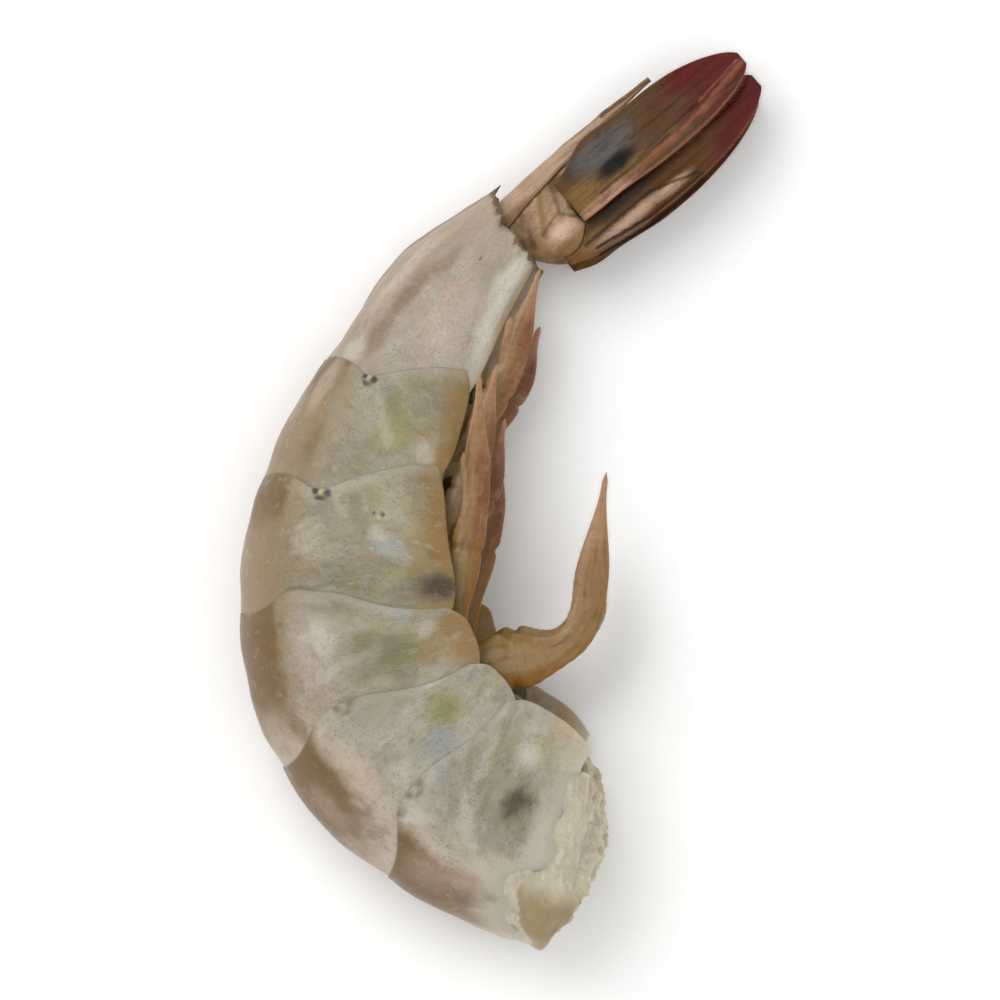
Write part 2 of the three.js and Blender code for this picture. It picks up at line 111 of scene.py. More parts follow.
# The tail fan
FAN_HEADING = 40
FAN_ROLL = 5
TELSON = {"start": -1.2, "end": 18, "root_half_width": 1.6, "half_width": 1.95, "tip_half_width": 0.28,
          "height": 3, "arch": 2.5, "tip_arch": 0.35, "thickness": 0.85}
STALK = {"start": -0.9, "thickness": 1.3, "root_aside": 1.2, "sunk": 0.7}
BLADE_STATIONS = [0, 0.08, 0.2, 0.4, 0.7, 1]
INNER_BLADE = {"name": "inner", "start": 5.1, "end": 25.5, "sunk": 0, "kind": 0,
               "middles": [-1.85, -1.65, -1.1, -1.3, -1.4, -1.8],
               "half_widths": [2.25, 2.5, 3.05, 3.15, 3.15, 3],
               "veins": (-2.3, -1.2, -0.2, 0.8), "vein_width": 0.12, "vein_start": (10, 15),
               "fringe_start": 0.32}
OUTER_BLADE = {"name": "outer", "start": 1.6, "end": 25.2, "sunk": 0.85, "kind": 1,
               "middles": [-5.4, -5.72, -5, -4.55, -4.4, -4.2],
               "half_widths": [0.85, 1.25, 2.2, 3.25, 3.3, 3.2],
               "veins": (-4.6, -3.4, -2.4), "vein_width": 0.14, "vein_start": (9, 14),
               "fringe_start": 0.6}
ROOF_START = 2.15
ROOF_RISE = 2.9
ROOF_TOP = 1.2
ROOF_RUN = 5.5
ROOF_TIP_SHARE = 0.86
# How much shorter the blades of the lower half are
RIGHT_BLADE_SHORTER = 0.5

# The swimmerets
SWIMMERETS = [
    {"number": 2, "root": 20.3, "aside": 2.5, "sunk": 1, "lean": [-124, -114, -43], "length": 24.2,
     "stalk": 0.15, "width": 5.3, "blade": 3.1, "short": 0.2, "apart": 0, "rises": [-1.6, -1.6]},
    {"number": 3, "root": 27.6, "aside": 2.3, "sunk": 1.6, "lean": [-20, -30, -18], "length": 21.5,
     "stalk": 0.3, "width": 3.1, "blade": 2.4, "short": 0.38, "apart": 1, "rises": [2.1, -1.9]},
    {"number": 4, "root": 38.2, "aside": 2.1, "sunk": 0.8, "lean": [-24, -16, -4], "length": 17,
     "stalk": 0.34, "width": 3.3, "blade": 2.3, "short": 0.38, "apart": 1, "rises": [-1, 1.8]},
    {"number": 5, "root": 50.2, "aside": 1.6, "sunk": 2, "lean": [-12, -4, 8], "length": 17.2,
     "stalk": 0.34, "width": 2.8, "blade": 2.4, "short": 0.38, "apart": 1, "rises": [-2.2, -2.9]},
]
LONG_BLADE_TURNED = 0.52
LONG_BLADE_TAPER_START = 0.62
SHORT_BLADE_LEAN = 9
SHORT_BLADE_DROP = 0.35
RIGHT_LIMB_SCALE = 0.74
RIGHT_LIMB_LEAN = -3
LIMB_FLATNESS = 0.3
LIMB_HALF_THICKNESS = 0.22
LONG_BLADE_RINGS = 9
SHORT_BLADE_RINGS = 5
KNEE_STEPS = 12
FIRST_PAIR = {"from": 3.5, "to": 14.6, "aside": 2, "gap": 0.45, "width": 2.6, "thickness": 1.1}

SIDES = {"left": 1, "right": -1}
UP = np.array([0.0, 0.0, 1.0])
MM = 0.001
JOINTS = np.cumsum([0, *SEGMENT_LENGTHS, FAN_LENGTH])
STEP = 0.25
LINE_START = -6
# How far round the body one degree reaches, for patterns that follow the skin
SKIN_PER_DEGREE = 0.14
# How far apart the patterns of two neighbouring pieces lie
PATTERN_STEP = 4


def srgb(red, green, blue):
    """A colour as it looks on a screen, 0 to 255, in the values that a shader takes."""
    shares = [part / 255 for part in (red, green, blue)]
    return tuple(s / 12.92 if s <= 0.04045 else ((s + 0.055) / 1.055) ** 2.4 for s in shares)


# Formulas of the body

def sin(angle):
    return np.sin(np.radians(angle))


def cos(angle):
    return np.cos(np.radians(angle))


def mix(a, b, t):
    return a + (b - a) * t


def ramp(value, low, high):
    t = np.clip((value - low) / (high - low), 0, 1)
    return t * t * (3 - 2 * t)


def bell(value, middle, width):
    return np.exp(-(((value - middle) / width) ** 2))


def curve(places, values, place):
    """A smooth curve through one value at each of some places."""
    places, values = np.asarray(places, float), np.asarray(values, float)
    at = np.clip(place, places[0], places[-1])
    i = np.clip(np.searchsorted(places, at) - 1, 0, len(places) - 2)
    step = np.diff(places)
    rate = np.diff(values) / step
    inner = (rate[:-1] * step[1:] + rate[1:] * step[:-1]) / (step[:-1] + step[1:])
    slope = np.concatenate([rate[:1], inner, rate[-1:]])
    h = step[i]
    t = (at - places[i]) / h
    return ((1 + 2 * t) * (1 - t) ** 2 * values[i] + t * (1 - t) ** 2 * h * slope[i]
            + t * t * (3 - 2 * t) * values[i + 1] + t * t * (t - 1) * h * slope[i + 1])


def along(values, s):
    return curve(JOINTS, values, s)


def back_height(s):
    """The back's height, a little swollen in the middle of the last segment."""
    share = np.clip((s - JOINTS[-3]) / SEGMENT_LENGTHS[-1], 0, 1)
    return along(BACK_HEIGHTS, s) + LAST_BACK_SWELL * np.sin(np.pi * share) ** 2


def middle_line():
    """The body's middle line, walked in short steps from the cut end both ways."""
    places = np.arange(LINE_START, JOINTS[-1] + STEP, STEP)
    headings = along(HEADINGS, places + STEP / 2)
    steps = np.stack([cos(headings), sin(headings)], -1) * STEP
    return np.concatenate([np.zeros((1, 2)), np.cumsum(steps, 0)[:-1]])


LINE = middle_line()


def vectors(x, y, z):
    return np.stack(np.broadcast_arrays(x, y, z), -1).astype(float)


def axes(heading, roll):
    """Directions along the tail, out of the back and out of the left flank."""
    outward = vectors(-sin(heading), cos(heading), 0)
    lying, standing = cos(roll)[..., None], sin(roll)[..., None]
    return {
        "tail": vectors(cos(heading), sin(heading), 0),
        "back": outward * lying - UP * standing,
        "left": outward * standing + UP * lying,
    }


def section(s):
    """The frames of cross-sections: an origin and three directions for each."""
    s = np.asarray(s, float)
    roll = along(ROLLS, s)
    place = (s - LINE_START) / STEP
    k = np.clip(np.floor(place).astype(int), 0, len(LINE) - 2)
    middle = mix(LINE[k], LINE[k + 1], (place - k)[..., None])
    reach = np.hypot(along(HALF_WIDTHS, s) * cos(roll), along(BACK_HEIGHTS, s) * sin(roll))
    origin = vectors(middle[..., 0], middle[..., 1], reach - along(FLANK_SINKS, s))
    return {"origin": origin, **axes(along(HEADINGS, s), roll)}


def in_frame(place, tail, back, left):
    parts = [np.asarray(part, float)[..., None] for part in (tail, back, left)]
    return (place["origin"] + place["tail"] * parts[0] + place["back"] * parts[1]
            + place["left"] * parts[2])


def body_point(s, angle, lift):
    """Points on the shell's outer form: angle 0 is the back, 90 the left flank, 180 the belly."""
    place = section(s)
    back = cos(angle) > 0
    depth = np.where(back, back_height(s), along(BELLY_DEPTHS, s))
    side = np.sign(sin(angle)) * np.abs(sin(angle)) ** np.where(back, 1, BELLY_SQUARENESS)
    point = in_frame(place, 0, depth * cos(angle), along(HALF_WIDTHS, s) * side)
    point[..., 2] = np.maximum(point[..., 2], 0)
    push = np.asarray(lift * cos(angle) * np.where(back, 1, BELLY_LIFT))[..., None]
    return point + place["back"] * push + place["left"] * np.asarray(lift * side)[..., None]


def edge_shift(joint, angle):
    """How far a plate's rear edge runs past its joint, round the body."""
    turn = (1 - cos(angle)) / 2
    flank = FLANK_SHIFTS[joint] * bell(np.abs(angle), HINGE_ANGLE, FLANK_SPREAD)
    hinge = HINGE_NOTCH * bell(np.abs(angle), HINGE_ANGLE, HINGE_SPREAD)
    return mix(BACK_SHIFTS[joint], MARGIN_SHIFTS[joint], turn) + flank - hinge


def torn_edge(angle):
    """The first plate's front edge, torn where the head was taken off."""
    tears = sum(height * bell(angle, middle, spread) for height, middle, spread in TEARS)
    edge = edge_shift(0, angle) + tears
    for height, times, start in TEAR_RIPPLES:
        edge = edge + height * sin(angle * times + start)
    return edge


def shell_grid(k, u, v):
    """Places on plate k: distance along the body, angle round it, and how far the plate is tucked in."""
    rounding = MARGIN_ROUNDING * np.abs(2 * u - 1) ** 3
    angle = (2 * v - 1) * (SHELL_MARGIN_ANGLES[k] - rounding)
    front = torn_edge(angle) if k == 0 else edge_shift(k, angle) - SHELL_TUCK
    s = mix(JOINTS[k] + front, JOINTS[k + 1] + edge_shift(k + 1, angle), u ** ROWS_TO_REAR)
    if k == 0:
        return s, angle, np.zeros_like(s)
    covered = ramp(s - JOINTS[k] - edge_shift(k, angle), SHELL_RISE_START, SHELL_RISE_END)
    return s, angle, mix(-SHELL_THICKNESS - SHELL_GAP, 0, covered)


def grid(rows, columns):
    return np.meshgrid(np.linspace(0, 1, rows + 1), np.linspace(0, 1, columns + 1), indexing="ij")


def find_shift():
    """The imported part's shift, from the first plate's low corner at the part's own facets."""
    u, v = grid(CAD_SHELL_ROWS, CAD_SHELL_COLUMNS)
    s, angle, tucked = shell_grid(0, u, v)
    faces = [body_point(s, angle, tucked + lift).reshape(-1, 3) for lift in (0, -SHELL_THICKNESS)]
    return np.array(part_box("shell_1")[0]) / MM - np.concatenate(faces).min(0)


SHIFT = find_shift()
# Points nearer than this, in metres, are one
DOUBLES_GAP = 1e-7
# Where the meat ends before the fan
MEAT_END = JOINTS[-2] - FLESH_END_GAP
FAN = {**section(JOINTS[-2]), **axes(FAN_HEADING, FAN_ROLL)}


def roof(back, t):
    """The fan's two sides close over each other like a roof, away from the middle."""
    open_at = ROOF_START + ROOF_RISE * (1 - np.exp((back - ROOF_TOP) / ROOF_RUN))
    return open_at * mix(1, ROOF_TIP_SHARE, t / FAN_LENGTH)


def waves(vector, size, seed):
    """Smooth unevenness from -1 to 1 over points, the same each time for the same seed."""
    draw = np.random.default_rng(seed)
    total = np.zeros(vector.shape[:-1])
    count = 7
    for _ in range(count):
        direction = draw.normal(size=vector.shape[-1])
        direction *= draw.uniform(0.6, 1.5) * 2 * np.pi / size / np.linalg.norm(direction)
        total += np.sin(vector @ direction + draw.uniform(0, 2 * np.pi))
    return total / count ** 0.5


# Meshes

def store(mesh, name, values):
    """Keeps one value or one vector a point on a mesh under a name."""
    vector = values.size == 3 * len(mesh.vertices)
    attribute = mesh.attributes.new(name, "FLOAT_VECTOR" if vector else "FLOAT", "POINT")
    attribute.data.foreach_set("vector" if vector else "value", values.astype(np.float32).ravel())


def new_mesh(name, vertices, edges=(), faces=(), fields=None):
    """A mesh from points in the body's millimetres, with what it keeps on each point."""
    mesh = bpy.data.meshes.new(name)
    mesh.from_pydata(((vertices + SHIFT) * MM).tolist(), edges, faces)
    for field_name, values in (fields or {}).items():
        store(mesh, field_name, values)
    if len(faces):
        mesh.shade_smooth()
        mesh.validate()
    return mesh


def outward_faces(vertices, faces):
    """The faces, turned round if they point inwards."""
    a, b, c = (vertices[faces[:, i]] for i in range(3))
    d = vertices[faces[:, -1]]
    volume = np.einsum("ij,ij->", a, np.cross(b, c)) + np.einsum("ij,ij->", a, np.cross(c, d))
    return faces if volume > 0 else faces[:, ::-1]


def plate_mesh(name, outer, inner, fields):
    """A thin curved plate: two like grids of points joined round their edge."""
    index = np.arange(outer[..., 0].size).reshape(outer.shape[:2])
    a, b, c, d = (corner.ravel() for corner in
                  (index[:-1, :-1], index[1:, :-1], index[1:, 1:], index[:-1, 1:]))
    rim = np.concatenate([index[0, :-1], index[:-1, -1], index[-1, :0:-1], index[:0:-1, 0]])
    after = np.roll(rim, -1)
    faces = np.concatenate([
        np.stack([a, b, c, d], -1),
        np.stack([a, d, c, b], -1) + index.size,
        np.stack([rim, after, after + index.size, rim + index.size], -1),
    ])
    vertices = np.concatenate([outer.reshape(-1, 3), inner.reshape(-1, 3)])
    doubled = {label: np.concatenate([values.reshape(index.size, -1)] * 2)
               for label, values in fields.items()}
    return new_mesh(name, vertices, faces=outward_faces(vertices, faces).tolist(), fields=doubled)


def ring_mesh(name, first, points, last, fields):
    """A closed body: rings of points between a first and a last point."""
    count, sides = points.shape[:2]
    index = 1 + np.arange(count * sides).reshape(count, sides)
    after = np.roll(index, -1, 1)
    end = 1 + count * sides
    quads = np.stack([index[:-1], index[1:], after[1:], after[:-1]], -1).reshape(-1, 4)
    vertices = np.concatenate([[first], points.reshape(-1, 3), [last]])
    turned = outward_faces(vertices, quads)
    caps = [[0, a, b] for a, b in zip(index[0], after[0])]
    caps += [[end, b, a] for a, b in zip(index[-1], after[-1])]
    faces = turned.tolist() + [cap if turned is quads else cap[::-1] for cap in caps]
    return new_mesh(name, vertices, faces=faces, fields=fields)


def in_scene(name, data):
    """A new object in the scene around a mesh, a lamp or a camera."""
    made = bpy.data.objects.new(name, data)
    bpy.context.scene.collection.objects.link(made)
    return made


def place_piece(name, mesh, nodes, material=None):
    """Puts a finished mesh into the scene, riding on the part's one body."""
    piece = in_scene(name, mesh)
    if material is not None:
        mesh.materials.clear()
        mesh.materials.append(material)
    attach(piece, "root")
    if nodes:
        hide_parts(*nodes)


def evaluated(carrier):
    """The plain mesh of an object with its modifiers applied."""
    depsgraph = bpy.context.evaluated_depsgraph_get()
    return bpy.data.meshes.new_from_object(carrier.evaluated_get(depsgraph), depsgraph=depsgraph)


def run_tree(mesh, tree, values):
    """The plain mesh that a geometry tree makes of a mesh. Its inputs are given by their names."""
    carrier = in_scene(mesh.name, mesh)
    modifier = carrier.modifiers.new(tree.name, "NODES")
    modifier.node_group = tree
    for item in tree.interface.items_tree:
        if item.in_out == "INPUT" and item.name in values:
            modifier[item.identifier] = values[item.name]
    made = evaluated(carrier)
    bpy.data.objects.remove(carrier)
    return made


def close_up(mesh):
    """Merges doubles and makes every face point outwards."""
    work = bmesh.new()
    work.from_mesh(mesh)
    bmesh.ops.remove_doubles(work, verts=work.verts, dist=DOUBLES_GAP)
    bmesh.ops.recalc_face_normals(work, faces=work.faces)
    work.to_mesh(mesh)
    work.free()
    mesh.shade_smooth()


def united(name, first, second):
    """One closed mesh around two that overlap."""
    objects = [in_scene(name, mesh) for mesh in (first, second)]
    union = objects[0].modifiers.new("Union", "BOOLEAN")
    union.operation = "UNION"
    union.solver = "EXACT"
    union.object = objects[1]
    made = evaluated(objects[0])
    for carrier in objects:
        bpy.data.objects.remove(carrier)
    close_up(made)
    return made


# Node helpers

def fill(tree, node, values):
    """Sets a node's inputs to values, or links them to sockets."""
    for key, value in values.items():
        if isinstance(value, bpy.types.NodeSocket):
            tree.links.new(value, node.inputs[key])
        else:
            node.inputs[key].default_value = value


def add(tree, kind, values=None, **settings):
    """A node with its settings and its inputs."""
    made = tree.nodes.new(kind)
    for key, value in settings.items():
        setattr(made, key, value)
    fill(tree, made, values or {})
    return made


def math(tree, operation, a, b=0.0, c=0.0):
    return add(tree, "ShaderNodeMath", {0: a, 1: b, 2: c}, operation=operation).outputs[0]


def vector_math(tree, operation, a, b=(0.0, 0.0, 0.0)):
    """The result of a vector operation: a number where it measures, else a vector."""
    values = {0: a, "Scale" if operation == "SCALE" else 1: b}
    measures = operation in ("LENGTH", "DISTANCE", "DOT_PRODUCT")
    made = add(tree, "ShaderNodeVectorMath", values, operation=operation)
    return made.outputs["Value" if measures else "Vector"]


def rising(tree, value, low, high):
    """0 below low, 1 above high, smooth between."""
    values = {"Value": value, "From Min": low, "From Max": high}
    return add(tree, "ShaderNodeMapRange", values, interpolation_type="SMOOTHSTEP").outputs[0]


def falling(tree, value, low, high):
    return math(tree, "SUBTRACT", 1.0, rising(tree, value, low, high))


def product(tree, first, *factors):
    for factor in factors:
        first = math(tree, "MULTIPLY", first, factor)
    return first


def pushed(tree, value, wobble, amount):
    """A value moved up and down by an unevenness."""
    return math(tree, "ADD", value, product(tree, wobble, amount))


def stripe(tree, value, middle, half, soft):
    """1 within half of a middle value, fading to 0 over a soft border."""
    off = math(tree, "ABSOLUTE", math(tree, "SUBTRACT", value, middle))
    return falling(tree, off, half, half + soft)


def between(tree, value, low, high):
    """A value from 0 to 1, taken to low to high."""
    return add(tree, "ShaderNodeMapRange", {"Value": value, "To Min": low, "To Max": high}).outputs[0]


def coloured(tree, factor, below, above):
    values = {0: factor, 6: with_alpha(below), 7: with_alpha(above)}
    return add(tree, "ShaderNodeMix", values, data_type="RGBA").outputs[2]


def layered(tree, base, *layers):
    """The base colour with others laid over it: each a colour and the factors of its mask."""
    for paint, *factors in layers:
        base = coloured(tree, product(tree, *factors), base, paint)
    return base


def with_alpha(colour):
    return colour if isinstance(colour, bpy.types.NodeSocket) else (*colour, 1)


def field(tree, name, output="Fac"):
    return add(tree, "ShaderNodeAttribute", attribute_name=name).outputs[output]


def axis_parts(tree, vector):
    return add(tree, "ShaderNodeSeparateXYZ", {0: vector}).outputs


def stretched(tree, vector, x, y, z):
    return vector_math(tree, "MULTIPLY", vector, (x, y, z))


def object_places(tree):
    """Each point's own place on its piece, in millimetres."""
    return stretched(tree, add(tree, "ShaderNodeTexCoord").outputs["Object"], 1 / MM, 1 / MM, 1 / MM)


def noise(tree, vector, scale, detail=3.0, roughness=0.55, distortion=0.0, output=0):
    values = {"Vector": vector, "Scale": scale, "Detail": detail, "Roughness": roughness,
              "Distortion": distortion}
    return add(tree, "ShaderNodeTexNoise", values).outputs[output]


def unevenness(tree, vector, scale):
    """A noise round 0."""
    return math(tree, "SUBTRACT", noise(tree, vector, scale, 4.0), 0.5)


def new_group(name, kind, inputs, output):
    """A node group with inputs and one output, as names and kinds. Gives its tree and its inputs."""
    tree = bpy.data.node_groups.new(name, kind)
    for label, socket in inputs.items():
        tree.interface.new_socket(label, in_out="INPUT", socket_type=f"NodeSocket{socket}")
    label, socket = output
    tree.interface.new_socket(label, in_out="OUTPUT", socket_type=f"NodeSocket{socket}")
    start = tree.nodes.new("NodeGroupInput")
    return tree, [start.outputs[label] for label in inputs]


def close_group(tree, result):
    tree.links.new(result, tree.nodes.new("NodeGroupOutput").inputs[0])
    return tree


def fill_dots(tree, vector, spacing, share, size):
    """Small dark pigment dots: one in a share of the cells, each of its own size."""
    cells = add(tree, "ShaderNodeTexVoronoi", {"Vector": vector, "Scale": math(tree, "DIVIDE", 1.0, spacing)})
    draw = add(tree, "ShaderNodeSeparateColor", {0: cells.outputs["Color"]}).outputs
    own = product(tree, size, math(tree, "MULTIPLY_ADD", draw[1], 0.8, 0.5))
    inside = falling(tree, math(tree, "DIVIDE", cells.outputs["Distance"], own), 0.4, 1.1)
    return product(tree, inside, math(tree, "LESS_THAN", draw[0], share))


def fill_clouds(tree, vector, size, level, softness):
    """Soft patches with blurred, ragged borders."""
    value = noise(tree, vector, math(tree, "DIVIDE", 1.0, size), 5.0, 0.6, 0.7)
    low, high = (math(tree, operation, level, softness) for operation in ("SUBTRACT", "ADD"))
    return rising(tree, value, low, high)


def fill_stain(tree, vector, centre, reach):
    """One soft oval stain round its centre, on places that were made ragged beforehand."""
    share = vector_math(tree, "DIVIDE", vector_math(tree, "SUBTRACT", vector, centre), reach)
    return falling(tree, vector_math(tree, "LENGTH", share), 0.25, 1.1)


def fill_ragged(tree, vector, size, push):
    """Places pushed about by noise, so that what is drawn on them gets ragged borders."""
    colours = noise(tree, vector, math(tree, "DIVIDE", 1.0, size), 4.0, 0.65, output=1)
    centred = vector_math(tree, "SUBTRACT", colours, (0.5, 0.5, 0.5))
    flat = stretched(tree, centred, 1, 1, 0)
    return vector_math(tree, "ADD", vector, vector_math(tree, "SCALE", flat, push))


def fill_relief(tree, vector, size):
    """Height of fine wrinkles over a soft unevenness, for a Bump node."""
    scale = math(tree, "DIVIDE", 1.0, size)
    fine = noise(tree, vector, scale, 4.0, 0.5)
    wide = noise(tree, vector, product(tree, scale, 0.2), 2.0, 0.5)
    return math(tree, "MULTIPLY_ADD", wide, 2.0, fine)


# The shared groups: how each is filled, its inputs and its output
GROUPS = {
    "Pigment dots": (fill_dots, ("Vector", "Spacing", "Share", "Size"), "Mask"),
    "Cloudy patches": (fill_clouds, ("Vector", "Size", "Level", "Softness"), "Mask"),
    "Stain": (fill_stain, ("Vector", "Centre", "Reach"), "Mask"),
    "Ragged places": (fill_ragged, ("Vector", "Size", "Push"), "Vector"),
    "Skin relief": (fill_relief, ("Vector", "Size"), "Height"),
}
VECTOR_SOCKETS = ("Vector", "Centre", "Reach")


def use_group(tree, name, *values):
    """The output of a shared group, which is built when it is first used."""
    fill_group, labels, output = GROUPS[name]
    if name not in bpy.data.node_groups:
        kinds = {label: "Vector" if label in VECTOR_SOCKETS else "Float" for label in (*labels, output)}
        group, sockets = new_group(name, "ShaderNodeTree", {label: kinds[label] for label in labels},
                                   (output, kinds[output]))
        close_group(group, fill_group(group, *sockets))
    inputs = dict(zip(labels, values, strict=True))
    return add(tree, "ShaderNodeGroup", inputs, node_tree=bpy.data.node_groups[name]).outputs[0]


def dots(tree, vector, spacing, share, size):
    return use_group(tree, "Pigment dots", vector, spacing, share, size)


def clouds(tree, vector, size, level, softness):
    return use_group(tree, "Cloudy patches", vector, size, level, softness)


def ragged(tree, vector, size, push):
    return use_group(tree, "Ragged places", vector, size, push)


def wrinkles(tree, vector, size):
    return use_group(tree, "Skin relief", vector, size)


BUMP_HEIGHT = 0.1
GLOW_REACH = (1.0, 0.75, 0.55)
COAT_ROUGHNESS = 0.22


def wet_material(name, colour, roughness, height, bump, glow, coat=0.1, shine=0.3, depth=1.0):
    """Ties a colour, a roughness and a height to a moist, slightly see-through surface."""
    material = bpy.data.materials[name]
    tree = material.node_tree
    bumped = add(tree, "ShaderNodeBump", {"Height": height, "Strength": bump, "Distance": BUMP_HEIGHT * MM})
    fill(tree, tree.nodes["Principled BSDF"], {
        "Base Color": colour, "Roughness": roughness, "Normal": bumped.outputs[0],
        "Subsurface Weight": glow, "Subsurface Radius": GLOW_REACH, "Subsurface Scale": depth * MM,
        "Coat Weight": coat, "Coat Roughness": COAT_ROUGHNESS, "Specular IOR Level": shine,
    })
    return material


def new_material(name):
    material = bpy.data.materials.new(name)
    material.use_nodes = True
    return material.node_tree


# Settings

def length(name, description, default):
    return FloatProperty(name=name, description=description, default=default * MM, min=0,
                         unit="LENGTH", precision=5)


def colour(name, description, red, green, blue):
    return FloatVectorProperty(name=name, description=description, default=srgb(red, green, blue), size=3,
                               subtype="COLOR", min=0, max=1)


class ShellSettings(bpy.types.PropertyGroup):
    wall: length("Wall", "Thickness of the plates", 0.13)
    dent: length("Unevenness", "Height of the soft dents in the plates", 0.09)
    keel: length("Keel", "Height of the ridge down the back of the last three plates", 0.32)
    knob: length("Hinge knob", "Height of the knob at each hinge", 0.1)
    spine: length("Spine", "Length of the spine on the last plate's back", 1.0)
    flank: colour("Flank", "Greenish grey of the front flanks", 158, 149, 131)
    pearl: colour("Pearl", "Cool pale patches", 170, 163, 148)
    dusk: colour("Dusk", "Warm grey-brown of the rear flanks", 127, 114, 85)
    sand: colour("Sand", "Pale patches of the rear flanks", 156, 143, 116)
    blue: colour("Blue", "Blue-grey patches", 140, 143, 138)
    # Milk is also the colour of painted highlights low on the flanks of plates 2 to 5
    milk: colour("Milk", "Milky white streaks and double layers", 204, 196, 180)
    back: colour("Back", "Pinkish beige of the front back", 194, 174, 154)
    rump: colour("Rump", "Brownish tan of the rear back", 142, 116, 87)
    # Band is also the colour of a painted shadow streak along the last plate's flank
    band: colour("Band", "Brown bands at the plates' rear edges", 106, 78, 38)
    olive: colour("Olive", "Yellow-green patches low on the flanks", 140, 132, 78)
    moss: colour("Moss", "Dark green patches", 104, 104, 66)
    shade: colour("Shade", "Grey-brown shadows in the flesh below", 110, 100, 78)
    gold: colour("Gold", "Golden lower margins and streaks", 136, 102, 50)
    honey: colour("Honey", "Pale golden hinges", 190, 156, 100)
    torn: colour("Torn edge", "Whitish film over the cut meat", 180, 171, 150)
    lilac: colour("Lilac", "Grey-lilac flank of the last plate", 170, 153, 141)
    pink: colour("Pink", "Pinkish lines and rims", 186, 154, 134)
    dots: colour("Pigment", "Dark pigment dots and blots", 52, 41, 28)


class MeatSettings(bpy.types.PropertyGroup):
    ridge: length("Belly ridge", "Height of the folds across the belly", 0.5)
    fibre: length("Fibre", "Depth of the fibres on the cut face", 0.16)
    meat: colour("Meat", "Whitish raw meat", 184, 175, 153)
    cool: colour("Cool", "Greenish grey patches in the meat", 168, 161, 142)
    light: colour("Light", "Whitest fibres", 210, 201, 182)
    # On the cut's corner the tinge is partly painted shade
    tinge: colour("Tinge", "Olive tinge low on the cut", 136, 110, 56)
    vein: colour("Vein", "Grey-brown gut line and veins", 112, 92, 66)


class FanSettings(bpy.types.PropertyGroup):
    rib: length("Rib", "Height of a blade's ribs", 0.16)
    groove: length("Groove", "Depth of the groove in the pointed middle piece", 0.3)
    beige: colour("Beige", "Pinkish beige of the middle piece", 156, 130, 106)
    pale: colour("Pale", "Pinkish white of the stalks and stiff margins", 182, 152, 128)
    gold: colour("Gold", "Golden brown at the roots", 120, 90, 44)
    grey: colour("Grey", "Grey-blue middle of the inner blades", 84, 80, 76)
    brown: colour("Brown", "Olive brown of the blades", 80, 56, 30)
    dark: colour("Dark", "Dark golden brown of the outer blades", 80, 46, 8)
    red: colour("Red", "Dark red of the blades' tips", 80, 14, 7)
    deep: colour("Deep red", "Deepest red of the outer tips", 76, 8, 4)
    rose: colour("Rose", "Rosy ribs and margins", 140, 88, 68)
    line: colour("Line", "Dark lines beside the ribs", 34, 19, 11)
    black: colour("Black", "Black spots", 5, 3, 2)


class LimbSettings(bpy.types.PropertyGroup):
    gold: colour("Gold", "Golden brown of the stalks", 126, 98, 48)
    amber: colour("Amber", "Saturated amber folds", 138, 90, 28)
    tan: colour("Tan", "Brownish tan of the blades", 134, 103, 66)
    rust: colour("Rust", "Reddish brown edges of the blades", 118, 66, 46)
    tip: colour("Tip", "Pink of the tips", 172, 134, 108)
    beige: colour("Beige", "Greyish beige films", 152, 130, 98)
    dark: colour("Dark", "Dark folds and lines", 70, 46, 20)
    sides: IntProperty(name="Sides", description="Faces round a limb", default=28, min=8)
    hair: length("Bristle", "Length of the bristles on the margins", 0.6)
    hair_radius: length("Bristle radius", "Radius of a bristle at its root", 0.018)
    hair_spacing: length("Bristle spacing", "Distance between bristles", 0.26)
    seed: IntProperty(name="Seed", description="Draw of the bristles' lengths", default=7, min=0)


class StageSettings(bpy.types.PropertyGroup):
    floor: FloatProperty(name="Floor", description="Side of the floor", default=3, min=1, unit="LENGTH")
    view_width: length("View width", "Width of the picture at the floor", 91.1)
    view_height: FloatProperty(name="View height", description="Height of the camera", default=0.9,
                               unit="LENGTH")
    light_size: FloatProperty(name="Light size", description="Side of the soft light", default=0.5,
                              unit="LENGTH")
    light_power: FloatProperty(name="Light power", description="Power of the soft light", default=2.6,
                               unit="POWER")
    surround: FloatProperty(name="Surround", description="Brightness of the surroundings", default=0.9, min=0)


def settings(name):
    return getattr(bpy.context.scene, name)


# The shell

SHELL_ROWS = 66
SHELL_COLUMNS = 176
# A distance that no edge comes near
FAR = 50.0
# Where the dressed plates lie: share of the solids' tuck, how far the rear edge bends down, and over what
TUCK_SHARE = 0.3
EDGE_DIP = 0.1
EDGE_RUN = 1.2
# How far the torn edge sinks into the meat, in walls, and over what
SUNK_EDGE = 1.9
SUNK_RUN = 1.7
KEEL_WIDTH = 0.55
# The knob at a hinge, and the moat round it
KNOB_WIDTH = 0.4
MOAT_RADIUS = 0.75
MOAT_WIDTH = 0.25
# The last plate's rear edge: height of its teeth, and how wide the spine is in degrees
TOOTH_HEIGHT = 0.16
SPINE_SPREAD = 4.5
# How much of its thickness a plate keeps at its edges and at the torn edge
EDGE_WALL = 0.6
TORN_WALL = 0.4
# Joints whose hinges show, and how clearly
HINGE_STRENGTHS = [0.45, 0.4, 0, 1.0, 1.0, 0]
HINGE_INSET = 0.35
# A hinge's marks: place along and round it, reach along and round in degrees, colour, strength
HINGE_MARKS = [
    (0.0, 0.0, 1.0, 8.0, "shade", 0.5),
    (0.1, 3.8, 0.5, 2.6, "dots", 0.95),
    (0.1, -4.0, 0.45, 3.0, "dots", 0.95),
    (-0.45, 0.4, 0.32, 5.0, "dots", 0.85),
    (0.2, 0.0, 0.42, 2.2, "honey", 0.9),
]
